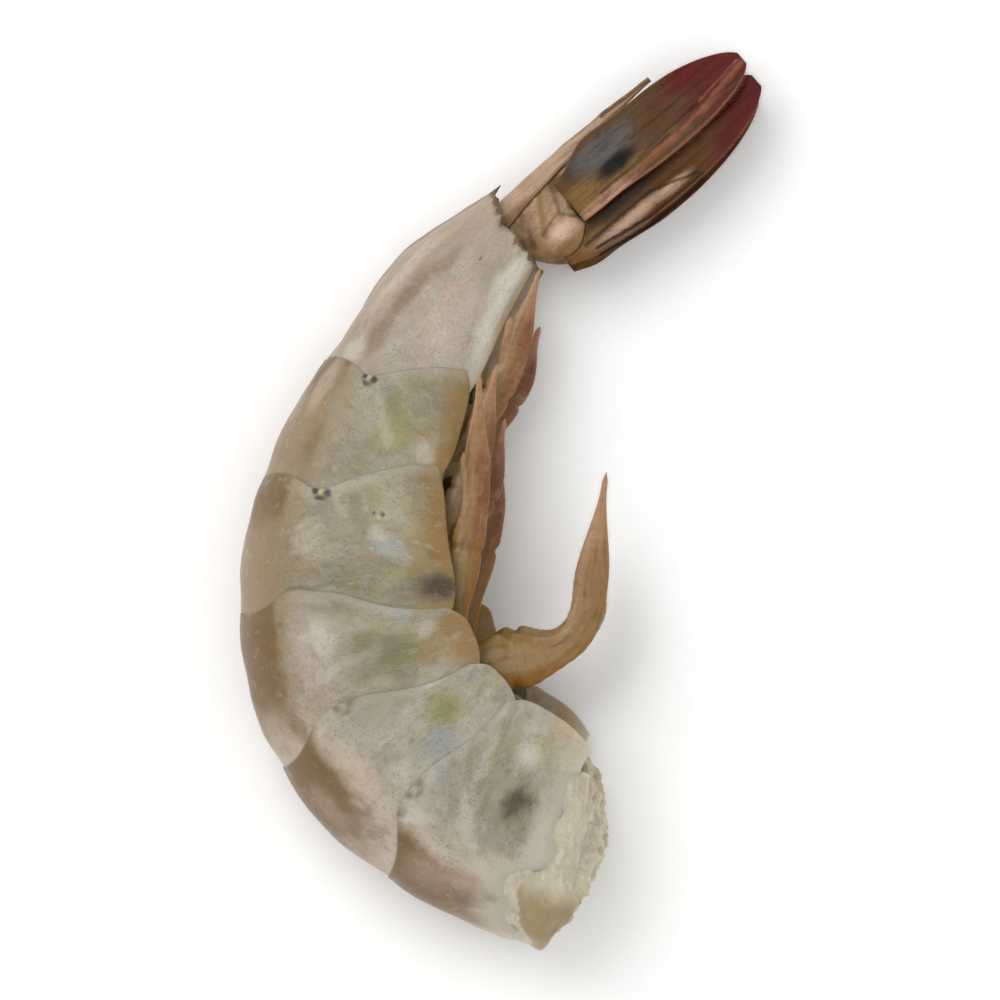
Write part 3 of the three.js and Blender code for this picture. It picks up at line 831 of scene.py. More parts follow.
# Stains: plate, distance along, angle, reach along, reach round the body in degrees, colour, strength
STAINS = [
    (1, 6.9, 105, 4.4, 26, "shade", 0.42),
    (1, 6.0, 103, 2.4, 13, "moss", 0.3),
    (1, 6.2, 104, 1.2, 7, "dots", 0.7),
    (1, 5.2, 107, 1.5, 5, "dots", 0.55),
    (1, 8.6, 56, 4.6, 11, "pink", 0.35),
    (1, 4.5, 53, 1.0, 6, "gold", 0.7),
    (1, 9.4, 46, 2.6, 14, "pink", 0.35),
    (1, 12.9, 60, 2.2, 12, "band", 0.75),
    (2, 18.0, 40, 2.4, 12, "pink", 0.35),
    (2, 20.8, 58, 2.0, 10, "band", 0.5),
    (2, 18.6, 74, 3.0, 9, "back", 0.5),
    (3, 23.4, 57, 2.0, 8, "band", 0.5),
    (1, 4.0, 152, 2.6, 13, "pink", 0.6),
    (1, 6.9, 126, 1.7, 8, "milk", 0.5),
    (1, 12.9, 76, 1.7, 7, "milk", 0.35),
    (1, 14.2, 73, 0.9, 6, "band", 0.45),
    (1, 1.6, 92, 2.2, 40, "milk", 0.5),
    (2, 17.9, 121, 2.8, 13, "olive", 0.75),
    (2, 17.6, 121, 1.3, 7, "moss", 0.5),
    (2, 15.8, 110, 2.0, 13, "blue", 0.7),
    (2, 16.1, 88, 1.6, 9, "milk", 0.45),
    # Painted highlight low on the flank
    (2, 21.6, 128, 1.2, 10, "milk", 0.6),
    (2, 18.4, 70, 3.4, 12, "pink", 0.3),
    (3, 25.8, 117, 2.8, 14, "moss", 0.75),
    (3, 24.6, 130, 2.2, 11, "gold", 0.5),
    (3, 28.6, 84, 4.6, 20, "lilac", 0.9),
    (3, 29.4, 88, 2.2, 9, "milk", 0.35),
    (3, 30.6, 122, 1.7, 9, "blue", 0.7),
    # Painted highlight low on the flank
    (3, 28.0, 132, 1.6, 9, "milk", 0.3),
    (4, 33.2, 144, 3.2, 24, "shade", 0.9),
    (4, 33.1, 146, 2.5, 18, "dots", 0.9),
    (4, 37.9, 122, 1.9, 10, "blue", 0.7),
    # Painted highlight low on the flank
    (4, 39.0, 116, 1.1, 7, "milk", 0.35),
    (4, 37.6, 146, 1.0, 6, "band", 0.6),
    (4, 37.6, 84, 2.6, 11, "sand", 0.6),
    (4, 41.8, 153, 2.4, 14, "gold", 0.6),
    (4, 37.0, 152, 3.0, 10, "gold", 0.5),
    # Painted highlight low on the flank
    (5, 48.3, 134, 1.9, 11, "milk", 0.4),
    (5, 49.2, 114, 2.6, 13, "olive", 0.65),
    (5, 45.4, 68, 3.0, 8, "band", 0.4),
    (5, 52.6, 130, 2.4, 18, "shade", 0.4),
    (5, 46.0, 148, 3.0, 12, "gold", 0.6),
    (5, 50.6, 50, 3.6, 14, "back", 0.5),
    (6, 60.4, 120, 5.8, 26, "lilac", 0.9),
    # Painted shadow: a brown streak along the last plate's flank, in three stains of the band colour
    (6, 56.0, 72, 2.6, 12, "band", 0.5),
    (6, 60.4, 72, 4.0, 11, "band", 0.55),
    (6, 64.6, 77, 3.2, 10, "band", 0.45),
    (6, 62.0, 48, 6.5, 14, "back", 0.6),
    (6, 53.8, 55, 1.8, 16, "milk", 0.45),
    (6, 67.0, 139, 4.4, 19, "milk", 0.75),
    (6, 60.0, 152, 5.0, 16, "milk", 0.55),
    (6, 63.4, 146, 4.4, 15, "milk", 0.7),
]
# Marks with crisp borders: plate, distance along, angle, reach along and round in degrees, colour, strength
MARKS = [
    (4, 41.0, 117.5, 0.34, 1.7, "dots", 0.85),
    (4, 40.9, 113.5, 0.3, 1.6, "dots", 0.8),
    (4, 40.6, 115.6, 0.2, 1.4, "honey", 0.8),
    (6, 66.8, 99.5, 0.28, 1.2, "dots", 0.85),
    (1, 14.2, 71, 0.5, 2.2, "dots", 0.4),
    (3, 31.0, 66, 0.35, 3.0, "dots", 0.35),
]
# Strokes: plate, two ends as distance along and angle, half width, colour, strength
STROKES = [
    (1, (11.0, 126), (9.9, 95), 0.3, "milk", 0.21),
    (1, (9.9, 95), (7.6, 76), 0.3, "milk", 0.21),
    (1, (7.6, 76), (5.2, 62), 0.3, "milk", 0.18),
    (3, (25.4, 66), (27.4, 110), 0.25, "milk", 0.15),
    (4, (33.4, 70), (33.9, 96), 0.14, "shade", 0.6),
    (4, (33.9, 96), (33.3, 110), 0.14, "shade", 0.5),
    (4, (38.3, 72), (39.6, 88), 0.2, "milk", 0.13),
    (4, (37.3, 74), (38.8, 90), 0.2, "milk", 0.13),
    (4, (36.3, 76), (37.8, 92), 0.2, "milk", 0.11),
    (4, (40.2, 100), (42.4, 92), 0.2, "milk", 0.18),
    (5, (47.6, 112), (51.4, 98), 0.25, "milk", 0.18),
    (6, (58.4, 99), (64.0, 102), 0.35, "pink", 0.45),
]


def dents(s, angle, height):
    """Soft unevenness of the whole skin, the same for the plates and for the meat below them."""
    place = vectors(s, SKIN_PER_DEGREE * angle, 0)
    return height * (waves(place, 6.5, 20) + 0.35 * waves(place, 2.4, 40))


def shell_relief(k, s, angle, shell):
    """How far plate k stands out of its plain form, and how far its rear and torn edges are."""
    rear = JOINTS[k + 1] + edge_shift(k + 1, angle) - s
    torn = s - torn_edge(angle) if k == 0 else np.full_like(s, FAR)
    hinge = np.hypot(rear - HINGE_INSET, SKIN_PER_DEGREE * (np.abs(angle) - HINGE_ANGLE))
    keel = shell.keel / MM * bell(SKIN_PER_DEGREE * angle, 0, KEEL_WIDTH) * ramp(k + 0.0, 2, 4)
    moat = 0.5 * bell(hinge, MOAT_RADIUS, MOAT_WIDTH)
    knob = shell.knob / MM * HINGE_STRENGTHS[k] * (bell(hinge, 0, KNOB_WIDTH) - moat)
    cling = SUNK_EDGE * shell.wall / MM * (1 - ramp(torn, 0, SUNK_RUN))
    dip = EDGE_DIP * (1 - ramp(rear, 0, EDGE_RUN))
    return keel + knob + dents(s, angle, shell.dent / MM) - dip - cling, rear, torn


def shell_plate(k, material):
    shell = settings("shrimp_shell")
    u, v = grid(SHELL_ROWS, SHELL_COLUMNS)
    s, angle, tucked = shell_grid(k, u, v)
    if k == len(SEGMENT_LENGTHS) - 1:
        teeth = TOOTH_HEIGHT * np.maximum(sin(angle * 11 + 30 * sin(angle * 3)), -0.4)
        s = s + (bell(angle, 0, SPINE_SPREAD) * shell.spine / MM + teeth) * ramp(u, 0.9, 1)
    relief, rear, torn = shell_relief(k, s, angle, shell)
    edges = mix(EDGE_WALL, 1, ramp(np.minimum(u, 1 - u), 0, 0.08))
    wall = shell.wall / MM * edges * mix(TORN_WALL, 1, ramp(torn, 0, 1))
    outer = body_point(s, angle, TUCK_SHARE * tucked + relief)
    inner = body_point(s, angle, TUCK_SHARE * tucked + relief - wall)
    # The flat spots that the shrimp lies on stay above the floor
    outer[..., 2] = np.maximum(outer[..., 2], -SHIFT[2])
    inner[..., 2] = np.maximum(inner[..., 2], 0.5 * wall - SHIFT[2])
    fields = {
        "skin": vectors(*on_plate(k + 1, s, np.abs(angle))),
        "rear": rear,
        "front": torn,
        "low": (SHELL_MARGIN_ANGLES[k] - np.abs(angle)) * SKIN_PER_DEGREE,
        "turn": np.abs(angle),
        "plate": np.full_like(s, k + 1),
    }
    name = f"plate_{k + 1}"
    place_piece(name, plate_mesh(name, outer, inner, fields), [f"shell_{k + 1}"], material)


def stained(tree, base, places, palette, stains):
    """The base colour with soft oval stains on it: centre, reach, colour and strength of each."""
    return layered(tree, base, *(
        (getattr(palette, paint), use_group(tree, "Stain", places, centre, reach), strength)
        for centre, reach, paint, strength in stains))


def stroked(tree, base, places, palette, strokes):
    """The base colour with narrow strokes on it: two ends, half width, colour and strength of each."""
    for first, second, half, paint, strength in strokes:
        start, run = Vector(first), Vector(second) - Vector(first)
        off = vector_math(tree, "SUBTRACT", places, start)
        share = vector_math(tree, "DOT_PRODUCT", off, run / run.length_squared)
        near = vector_math(tree, "SCALE", run, add(tree, "ShaderNodeClamp", {0: share}).outputs[0])
        mask = falling(tree, vector_math(tree, "DISTANCE", off, near), half * 0.3, half * 2.4)
        base = layered(tree, base, (getattr(palette, paint), mask, strength))
    return base


def on_plate(number, s, angle):
    return s, SKIN_PER_DEGREE * angle, PATTERN_STEP * number


def on_skin(stains):
    """Stains given by plate and angle, as places of the skin."""
    return [(on_plate(number, s, angle), (reach, SKIN_PER_DEGREE * spread, 1.0), paint, strength)
            for number, s, angle, reach, spread, paint, strength in stains]


def hinge_marks():
    """The small broken marks at the hinges that show, as stains on their plates."""
    marks = []
    for k, shown in enumerate(HINGE_STRENGTHS):
        hinge = JOINTS[k + 1] + edge_shift(k + 1, HINGE_ANGLE) - HINGE_INSET
        marks += [(k + 1, hinge + behind, HINGE_ANGLE + below, reach, spread, paint, strength * shown)
                  for behind, below, reach, spread, paint, strength in HINGE_MARKS if shown]
    return marks


def shell_material():
    shell = settings("shrimp_shell")
    tree = new_material("Plate")
    skin = field(tree, "skin", "Vector")
    rear, front, low, turn, plate = (field(tree, name) for name in ("rear", "front", "low", "turn", "plate"))
    behind = rising(tree, axis_parts(tree, skin)[0], 18.0, 30.0)
    last, others = rising(tree, plate, 5.4, 5.6), falling(tree, plate, 5.4, 5.6)
    wobble = unevenness(tree, skin, 0.45)

    # Greenish grey flank in front, warmer and browner behind, with pale, shadowy and cool patches
    mossy = clouds(tree, stretched(tree, skin, 0.8, 1.2, 0.7), 3.0, 0.54, 0.12)
    base = layered(
        tree, coloured(tree, behind, shell.flank, shell.dusk),
        (coloured(tree, behind, shell.pearl, shell.sand), clouds(tree, skin, 4.4, 0.5, 0.16), 0.85),
        (shell.shade, clouds(tree, stretched(tree, skin, 1, 0.7, 1.3), 3.2, 0.55, 0.13), 0.55),
        (shell.blue, clouds(tree, stretched(tree, skin, 1.2, 1.2, 2), 2.2, 0.57, 0.1), 0.45),
        (shell.olive, mossy, rising(tree, turn, 92.0, 122.0), others, 0.5),
    )

    # Pinkish beige back, and brown bands that fade forward from each rear edge
    upper = falling(tree, pushed(tree, turn, wobble, 30.0), 55.0, 96.0)
    shorter = math(tree, "MULTIPLY_ADD", rising(tree, plate, 3.4, 3.6), 0.9, 1.0)
    faded = falling(tree, math(tree, "MULTIPLY_ADD", rear, shorter, product(tree, wobble, 7.0)), 4.0, 10.0)
    ring = stripe(tree, pushed(tree, turn, wobble, 18.0), 34.0, 24.0, 9.0)
    base = layered(
        tree, base,
        (coloured(tree, behind, shell.back, shell.rump), upper, 0.8),
        (shell.band, faded, ring, others, 0.92),
        (shell.pink, falling(tree, turn, 6.0, 18.0), 0.3, others),
        (shell.band, falling(tree, turn, 2.0, 7.0), last, 0.6),
    )

    # The last plate is warmer all over, with a yellowish lower margin. Those before it have golden margins
    margin = falling(tree, pushed(tree, low, wobble, 6.0), 0.8, 4.6)
    base = layered(
        tree, base,
        (shell.lilac, last, 0.5),
        (shell.honey, falling(tree, low, 0.7, 2.2), last, 0.6),
        (shell.gold, margin, rising(tree, plate, 2.4, 2.6), others, 0.85),
    )
    places = ragged(tree, skin, 1.6, 1.7)
    base = stained(tree, base, places, shell, on_skin(STAINS))
    base = stroked(tree, base, places, shell, [
        (on_plate(number, *first), on_plate(number, *second), half, paint, strength)
        for number, first, second, half, paint, strength in STROKES])

    # Whitish flecks and mottling, as of muscle seen through the shell, and a stipple, denser in patches.
    # Then the edges: a milky band where two plates lie over each other, a thin line of painted shade along
    # the rear edge of every plate but the last, a film over the cut meat, a brown rim
    flecks = noise(tree, stretched(tree, skin, 1.4, 0.8, 1), 0.9, 4.0, 0.65)
    mottle = noise(tree, stretched(tree, skin, 0.8, 1.3, 1), 1.1, 4.0, 0.65)
    stipple = dots(tree, skin, 0.22, 0.8, 0.45)
    crowd = rising(tree, noise(tree, skin, 0.22, 3.0), 0.3, 0.6)
    base = layered(
        tree, base,
        (shell.milk, rising(tree, flecks, 0.54, 0.78), 0.24),
        (shell.shade, rising(tree, mottle, 0.5, 0.7), 0.28),
        (shell.dots, stipple, math(tree, "MULTIPLY_ADD", crowd, 0.22, 0.06)),
        (shell.milk, falling(tree, rear, 0.2, 1.6), rising(tree, turn, 55.0, 80.0), others, 0.14),
        # Painted shade: a thin dark line along the rear edge of every plate but the last
        (shell.shade, falling(tree, rear, 0.05, 0.22), others, 0.3),
        (shell.torn, falling(tree, pushed(tree, front, wobble, 4.0), 0.3, 3.6), 0.9),
        (shell.band, falling(tree, pushed(tree, rear, wobble, 2.5), 0.1, 0.7), last, 0.8),
        (shell.dots, falling(tree, pushed(tree, rear, wobble, 3.0), 0.1, 0.4), last, 0.75),
    )
    base = stained(tree, base, ragged(tree, skin, 0.6, 0.45), shell, on_skin([*hinge_marks(), *MARKS]))

    height = math(tree, "SUBTRACT", wrinkles(tree, skin, 0.6), product(tree, stipple, 0.3))
    gloss = between(tree, noise(tree, skin, 0.7, 4.0), 0.32, 0.52)
    return wet_material("Plate", base, gloss, height, 0.45, 0.4, coat=0.12, shine=0.35, depth=1.2)


# The meat

MEAT_ROWS = 150
MEAT_COLUMNS = 180
MEAT_CUT_RINGS = 46
# How far before the torn edge the meat begins to swell, and how far behind the cut's rim it is full
BARE_RUN = 0.9
RIM_RUN = 1.2
RIM_SINK = 0.7
# How far before its end the meat begins to close
CLOSING_RUN = 3
# Folds across the belly at the joints, and lower ones behind them
FOLD_WIDTH = 0.9
LOW_FOLD = 0.35
LOW_FOLD_BEHIND = 3
LOW_FOLD_WIDTH = 1.5
# Lowest heights over the floor, of bare meat and of the rest
BARE_FLOOR = 0.05
MEAT_FLOOR = 0.03
# How deep below the shell the meat lies where it fills the torn plate, in walls
LINING_DEPTH = 1.3
# The middle of the cut face: places before its rim's back, towards the back and to the left
CUT_MIDDLE = (1, -1.2, 0.2)
# The uneven surface: height, size and draw
MEAT_UNEVEN = (0.07, 3.2, 11)


def cut_place(angle):
    """Where the rim of the cut lies along the body."""
    return mix(CUT_BACK, CUT_BELLY, (1 - cos(angle)) / 2) - CUT_FLANK * np.abs(sin(angle))


def cut_lumps(angle):
    return CUT_LUMPS * (sin(angle * 3 + 30) + 0.7 * sin(angle * 7) + 0.6 * sin(angle * 5 + 70))


def meat_skin(u, angle):
    """The meat's surface behind the cut: its points, places along the body, and how bare they lie."""
    meat, shell = settings("shrimp_meat"), settings("shrimp_shell")
    s = mix(cut_place(angle), MEAT_END, u ** 1.15)
    back = cos(angle) > 0
    torn = s - torn_edge(angle)
    bare = 1 - ramp(torn, -BARE_RUN, 0)
    clearance = mix(CUT_CLEARANCE, FLESH_CLEARANCE, ramp(s, *CUT_REACH))
    rim = RIM_SINK * (1 - ramp(s - cut_place(angle), 0, RIM_RUN))
    grow = bare * (CUT_SWELL + cut_lumps(angle)) - rim - clearance
    close = np.sqrt(np.clip((MEAT_END - s) / CLOSING_RUN, 0.05, 1))
    width = (along(HALF_WIDTHS, s) + grow) * close
    under = np.where(back, 0, ramp(-cos(angle), 0.25, 0.8))
    folds = (sum(bell(s, joint, FOLD_WIDTH) for joint in JOINTS[1:-1])
             + LOW_FOLD * sum(bell(s, joint + LOW_FOLD_BEHIND, LOW_FOLD_WIDTH) for joint in JOINTS[:-2]))
    gut = bell(sin(angle), 0, 0.16) * under
    depth = np.where(back, back_height(s), along(BELLY_DEPTHS, s) * FLESH_BELLY + clearance) + grow
    depth = depth + meat.ridge / MM * (folds * under - 0.5 * gut) * (1 - bare) * close
    side = np.sign(sin(angle)) * np.abs(sin(angle)) ** np.where(back, 1, FLESH_SQUARENESS)
    point = in_frame(section(s), 0, depth * close * cos(angle), width * side)
    point[..., 2] = np.maximum(point[..., 2], bare * BARE_FLOOR + (1 - bare) * FLESH_CLEARANCE)
    lining = body_point(s, angle, dents(s, angle, shell.dent / MM) - LINING_DEPTH * shell.wall / MM)
    filled = ramp(torn, -2.4, -0.4) * (1 - ramp(torn, 1.5, 4)) * (1 - ramp(np.abs(angle), 125, 150))
    return mix(point, lining, filled[..., None]), s, bare


def meat_face(rim, angle):
    """The cut face: its middle, and rings of lumpy fibres from there to the rim."""
    meat = settings("shrimp_meat")
    before, back, left = CUT_MIDDLE
    cut = section(CUT_BACK - before)
    middle = in_frame(cut, -CUT_DOME, back, left)
    share = np.arange(1, MEAT_CUT_RINGS + 1)[:, None] / (MEAT_CUT_RINGS + 1)
    bulge = CUT_DOME * (share ** 2 - share) + cut_lumps(angle + 140 * share) * share
    face = mix(middle, rim, share[..., None])
    flat = vectors(face @ cut["back"], face @ cut["left"], 0)
    fibres = waves(flat, 1.1, 5) + 0.8 * waves(flat, 0.55, 6) - 1.5 * np.abs(waves(flat, 2.6, 8))
    bulge = bulge + meat.fibre / MM * fibres * ramp(1 - share, 0, 0.12)
    return middle, face + cut["tail"] * bulge[..., None], share


def meat_mesh():
    """The meat, with the places on its skin and how near the cut's middle they are."""
    angle = 360 * (np.arange(MEAT_COLUMNS) / MEAT_COLUMNS) - 180
    rim, rim_s, _ = meat_skin(np.zeros_like(angle), angle)
    middle, face, share = meat_face(rim, angle)
    u = np.linspace(0, 1, MEAT_ROWS)[:, None]
    body, s, bare = meat_skin(u, angle[None, :])
    height, size, draw = MEAT_UNEVEN
    uneven = height * waves(body, size, draw)
    outward = body - in_frame(section(s), 0, -2.0, 0)
    outward /= np.linalg.norm(outward, axis=-1, keepdims=True)
    body = body + outward * (uneven * ramp(u, 0, 0.01))[..., None]
    body[..., 2] = np.maximum(body[..., 2], MEAT_FLOOR)
    cut = np.concatenate([np.broadcast_to(0.4 + 0.6 * (1 - share), face.shape[:2]), bare * 0.4])
    places = np.concatenate([rim_s - (1 - share) * 3, s])
    skin = vectors(places, SKIN_PER_DEGREE * angle, cut)
    skin = np.concatenate([[[skin[0, 0, 0], 0, 1.0]], skin.reshape(-1, 3), skin[-1, :1]])
    last = in_frame(section(MEAT_END + 0.2), 0, 0, 0)
    return ring_mesh("meat", middle, np.concatenate([face, body]), last, {"skin": skin})


def meat_material():
    meat = settings("shrimp_meat")
    tree = new_material("Meat")
    place = object_places(tree)
    _, round_it, cut = axis_parts(tree, field(tree, "skin", "Vector"))
    turn = math(tree, "ABSOLUTE", round_it)
    fibres = noise(tree, stretched(tree, place, 1, 0.35, 0.35), 1.6, 5.0, 0.6, 0.5)
    corner = rising(tree, cut, 0.3, 0.4), falling(tree, cut, 0.42, 0.6)
    veins = stripe(tree, noise(tree, place, 0.6, 5.0), 0.5, 0.0, 0.02)
    base = layered(
        tree, coloured(tree, clouds(tree, place, 3.4, 0.52, 0.18), meat.meat, meat.cool),
        (meat.light, rising(tree, fibres, 0.5, 0.66), 0.45),
        (meat.tinge, rising(tree, turn, 16.0, 21.0), clouds(tree, place, 2.6, 0.5, 0.15), 0.5),
        # The cut's olive corner: the meat's own tinge, partly darkened as painted shade
        (meat.tinge, stripe(tree, round_it, 5.6, 2.4, 2.6), *corner, 0.75),
        (meat.vein, veins, 0.22),
        (meat.vein, falling(tree, cut, 0.02, 0.2), rising(tree, turn, 12.0, 20.0), 0.2),
    )
    gloss = between(tree, fibres, 0.3, 0.46)
    return wet_material("Meat", base, gloss, wrinkles(tree, place, 0.5), 0.45, 0.5, coat=0.15, shine=0.35,
                        depth=1.6)


# The tail fan

FAN_ROWS = 120
FAN_COLUMNS = 60
TELSON_COLUMNS = 44
STALK_ROWS = 60
# How much narrower the middle piece is at its point, its groove's width, and the ridges' height beside it
POINT_NARROWING = 0.8
GROOVE_WIDTH = 0.2
RIDGE_HEIGHT = 0.1
# Folds across a stalk: height, slant, place along the fan and width
STALK_FOLDS = [(0.16, 0.62, 2.3, 0.5), (0.12, 0.5, 0.9, 0.4), (0.1, 0.4, 4.5, 0.45)]
# Height of a stalk's swelling
STALK_DOME = 0.28
# Height of a blade's veins, as a share of its ribs' height
VEIN_SHARE = 0.4
# How much the fan's patterns are stretched along and up while their borders are made ragged
RAGGED_STRETCH = (0.6, 1.2)
# What a fan piece is, for the places that its material paints
INNER, OUTER, MIDDLE, STALK_KIND = range(4)
# The dressed stalk's outline: its upper and lower edge at places along the fan
STALK_PLACES = [-0.9, 0.5, 2, 3.6, 5, 7.2]
STALK_UPPER = [0.1, 0.5, 0.95, 1.2, 1.3, 1.2]
STALK_LOWER = [-2.9, -4.6, -5.5, -5.3, -4.2, -1.6]
# Stains on the fan: piece, place along, height to the back, reach along, reach up, colour, strength
FAN_STAINS = [
    (INNER, 6.6, -2.2, 2.4, 3.0, "gold", 0.8),
    (INNER, 7.2, 0.3, 1.6, 1.6, "line", 0.6),
    (INNER, 10.8, 0.0, 4.6, 2.2, "grey", 1.0),
    (INNER, 9.4, 0.2, 3.0, 1.4, "grey", 0.8),
    (INNER, 13.5, 1.7, 5.5, 0.8, "brown", 0.6),
    (INNER, 16.0, -0.6, 3.0, 1.6, "dark", 0.6),
    (INNER, 21.5, 0.4, 5.0, 1.9, "red", 1.0),
    (INNER, 24.0, -1.0, 4.0, 2.4, "red", 0.9),
    (INNER, 21.0, -2.4, 5.0, 1.3, "red", 0.6),
    (INNER, 12.0, -2.9, 6.0, 0.9, "gold", 0.6),
    (INNER, 8.2, -3.7, 4.2, 0.75, "pale", 0.95),
    (INNER, 10.9, -1.8, 2.8, 1.0, "black", 1.0),
    (INNER, 10.6, -1.85, 2.2, 0.95, "black", 1.0),
    (OUTER, 4.0, -5.6, 3.6, 2.0, "gold", 0.7),
    (OUTER, 9.0, -4.7, 7.0, 0.8, "line", 0.9),
    (OUTER, 8.6, -6.5, 5.2, 0.8, "pale", 0.75),
    (OUTER, 13.2, -6.7, 2.8, 0.6, "pale", 0.75),
    (OUTER, 17.0, -5.4, 4.0, 1.6, "dark", 0.8),
    (OUTER, 24.0, -4.2, 3.4, 3.4, "deep", 1.0),
    (OUTER, 22.4, -5.4, 3.2, 2.2, "deep", 0.8),
    (OUTER, 20.4, -6.6, 2.8, 1.2, "deep", 0.9),
    (MIDDLE, 1.0, 0.9, 3.0, 0.7, "gold", 0.7),
    (MIDDLE, 12.0, 2.0, 8.0, 0.35, "gold", 0.55),
    (STALK_KIND, 1.9, -5.1, 3.2, 1.15, "gold", 0.9),
    (STALK_KIND, 2.9, -3.45, 2.3, 1.05, "pale", 1.0),
    (STALK_KIND, 3.3, -3.2, 1.2, 0.6, "pale", 0.8),
    (STALK_KIND, 5.4, 0.5, 1.4, 1.0, "line", 0.7),
    (STALK_KIND, 2.9, 0.8, 0.5, 0.4, "pale", 0.7),
]
# Strokes on the fan: piece, two ends, half width, colour, strength
FAN_STROKES = [
    (INNER, (6.2, -3.6), (16.0, -3.45), 0.22, "rose", 0.6),
    (INNER, (16.0, -3.45), (20.0, -3.1), 0.22, "rose", 0.65),
    (INNER, (20.0, -3.1), (25.2, -2.0), 0.22, "rose", 0.6),
    (INNER, (12.5, -2.7), (20.0, -2.3), 0.07, "line", 0.6),
    (INNER, (20.0, -2.3), (25.0, -1.6), 0.08, "rose", 0.5),
    (INNER, (13.0, -0.9), (23.0, -0.9), 0.07, "line", 0.5),
    (INNER, (8.0, -3.0), (16.0, -2.9), 0.1, "line", 0.55),
    (OUTER, (4.4, -6.6), (9.9, -7.5), 0.1, "line", 0.9),
    (OUTER, (9.9, -7.5), (16.2, -7.55), 0.1, "line", 0.9),
    (OUTER, (3.8, -5.75), (11.4, -5.7), 0.12, "line", 0.8),
    (OUTER, (11.4, -5.7), (15.8, -7.2), 0.1, "line", 0.75),
    (MIDDLE, (-1.0, 2.95), (18.0, 2.6), 0.06, "line", 0.35),
    (MIDDLE, (12.5, 2.6), (18.0, 2.4), 0.14, "dark", 0.9),
    (STALK_KIND, (3.6, 0.9), (1.5, -2.7), 0.18, "gold", 0.7),
    (STALK_KIND, (1.3, 0.9), (0.1, -2.8), 0.2, "dark", 0.6),
    (STALK_KIND, (5.0, 0.9), (3.9, -1.8), 0.14, "brown", 0.6),
    (STALK_KIND, (3.9, -1.8), (1.4, -2.5), 0.1, "dark", 0.5),
    (STALK_KIND, (3.9, -2.1), (5.3, -3.7), 0.12, "line", 0.6),
]


def leaf_fields(t, back, kind, u, across):
    return {"leaf": vectors(t, back, PATTERN_STEP * kind), "share": vectors(u, across, kind)}


def telson_mesh():
    fan = settings("shrimp_fan")
    u, v = grid(FAN_ROWS, TELSON_COLUMNS)
    across = 2 * v - 1
    root = (TELSON["root_half_width"] - TELSON["half_width"]) * (1 - ramp(u, 0, 0.18))
    width = mix(TELSON["half_width"], TELSON["tip_half_width"], u ** 1.2) + root
    width = width * (1 - POINT_NARROWING * ramp(u, 0.94, 1))
    taper = mix(1, 0.45, u)
    arch = mix(TELSON["arch"], TELSON["tip_arch"], u)
    top = TELSON["height"] - 0.3 * (2 * u - 1) ** 2 - arch * across ** 2
    ridges = RIDGE_HEIGHT * taper * bell(np.abs(across), 0.36, 0.12)
    groove = fan.groove / MM * taper * bell(across, 0, GROOVE_WIDTH) - ridges
    t = mix(TELSON["start"], TELSON["end"], u)
    uneven = 0.03 * waves(vectors(t, across * 2, 0), 3, 61)
    outer = in_frame(FAN, t, top - groove + uneven, across * width)
    thinner = mix(1, 0.6, np.abs(across)) * mix(1, 0.3, np.abs(across) ** 6)
    thickness = TELSON["thickness"] * taper * thinner
    inner = in_frame(FAN, t, top - groove - thickness, across * width * 0.97)
    return plate_mesh("telson_piece", outer, inner, leaf_fields(t, top, MIDDLE, u, across))


def rounded(share, power, least):
    """1 in the middle of a span, falling off steeply at both ends."""
    return np.sqrt(np.clip(1 - np.abs(2 * share - 1) ** power, least, 1))


def stalk_mesh(name, side):
    """The short stalk of one side's blades, tucked under the middle piece and the inner blade."""
    u, v = grid(STALK_ROWS, FAN_COLUMNS)
    end = mix(5.0, 7.2, ramp(v, 0.35, 0.8))
    t = mix(STALK["start"], end, u)
    back = mix(curve(STALK_PLACES, STALK_LOWER, t), curve(STALK_PLACES, STALK_UPPER, t), v)
    low = ramp(-back, -0.4, 2.6)
    aside = mix(STALK["root_aside"], roof(back, t) - mix(1.05, STALK["sunk"], low), ramp(t, -0.6, 2.4))
    pinch = rounded(v, 3, 0.02) * rounded(u, 8, 0.04)
    half = 0.5 * STALK["thickness"] * pinch * mix(0.55, 1, low)
    dome = STALK_DOME * bell(np.hypot((t - 3.0) / 1.9, (back + 3.4) / 1.0), 0, 0.9)
    folds = sum(height * bell(t - slant * back, place, width) for height, slant, place, width in STALK_FOLDS)
    relief = (dome + folds * (1 - ramp(-back, 1.6, 2.8)) * (1 - ramp(t, 4.6, 5.2))) * pinch
    relief = relief + 0.05 * waves(vectors(t, back, 9), 1.6, 66) * pinch
    outer = in_frame(FAN, t, back, side * (aside + half + relief))
    inner = in_frame(FAN, t, back, side * (aside - half))
    return plate_mesh(name, outer, inner, leaf_fields(t, back, STALK_KIND, u, 2 * v - 1))


def blade_shape(blade, side, u, across):
    """Place along the fan and height towards the back, at shares of a blade's length and width."""
    t = mix(blade["start"], blade["end"] - (0 if side > 0 else RIGHT_BLADE_SHORTER), u)
    rounding = np.sqrt(1 - (np.clip(u - 0.55, 0, 1) / 0.46) ** 2)
    width = curve(BLADE_STATIONS, blade["half_widths"], u) * rounding
    return t, curve(BLADE_STATIONS, blade["middles"], u) + across * width


def blade_ribs(blade, t, back, across):
    """Heights of a blade's ribs and veins, as shares of the ribs' height."""
    veins = sum(bell(back, place, blade["vein_width"]) for place in blade["veins"])
    if blade["kind"] == INNER:
        ribs = bell(back, -3.35 + 1.2 * ramp(t, 17, 25.5), 0.22) + 0.6 * bell(across, -0.95, 0.07)
    else:
        ribs = bell(back, -6.45, 0.6) * ramp(t, 3, 5) * (1 - ramp(t, 14.5, 16.5))
    return ribs + VEIN_SHARE * (veins * ramp(t, *blade["vein_start"]))


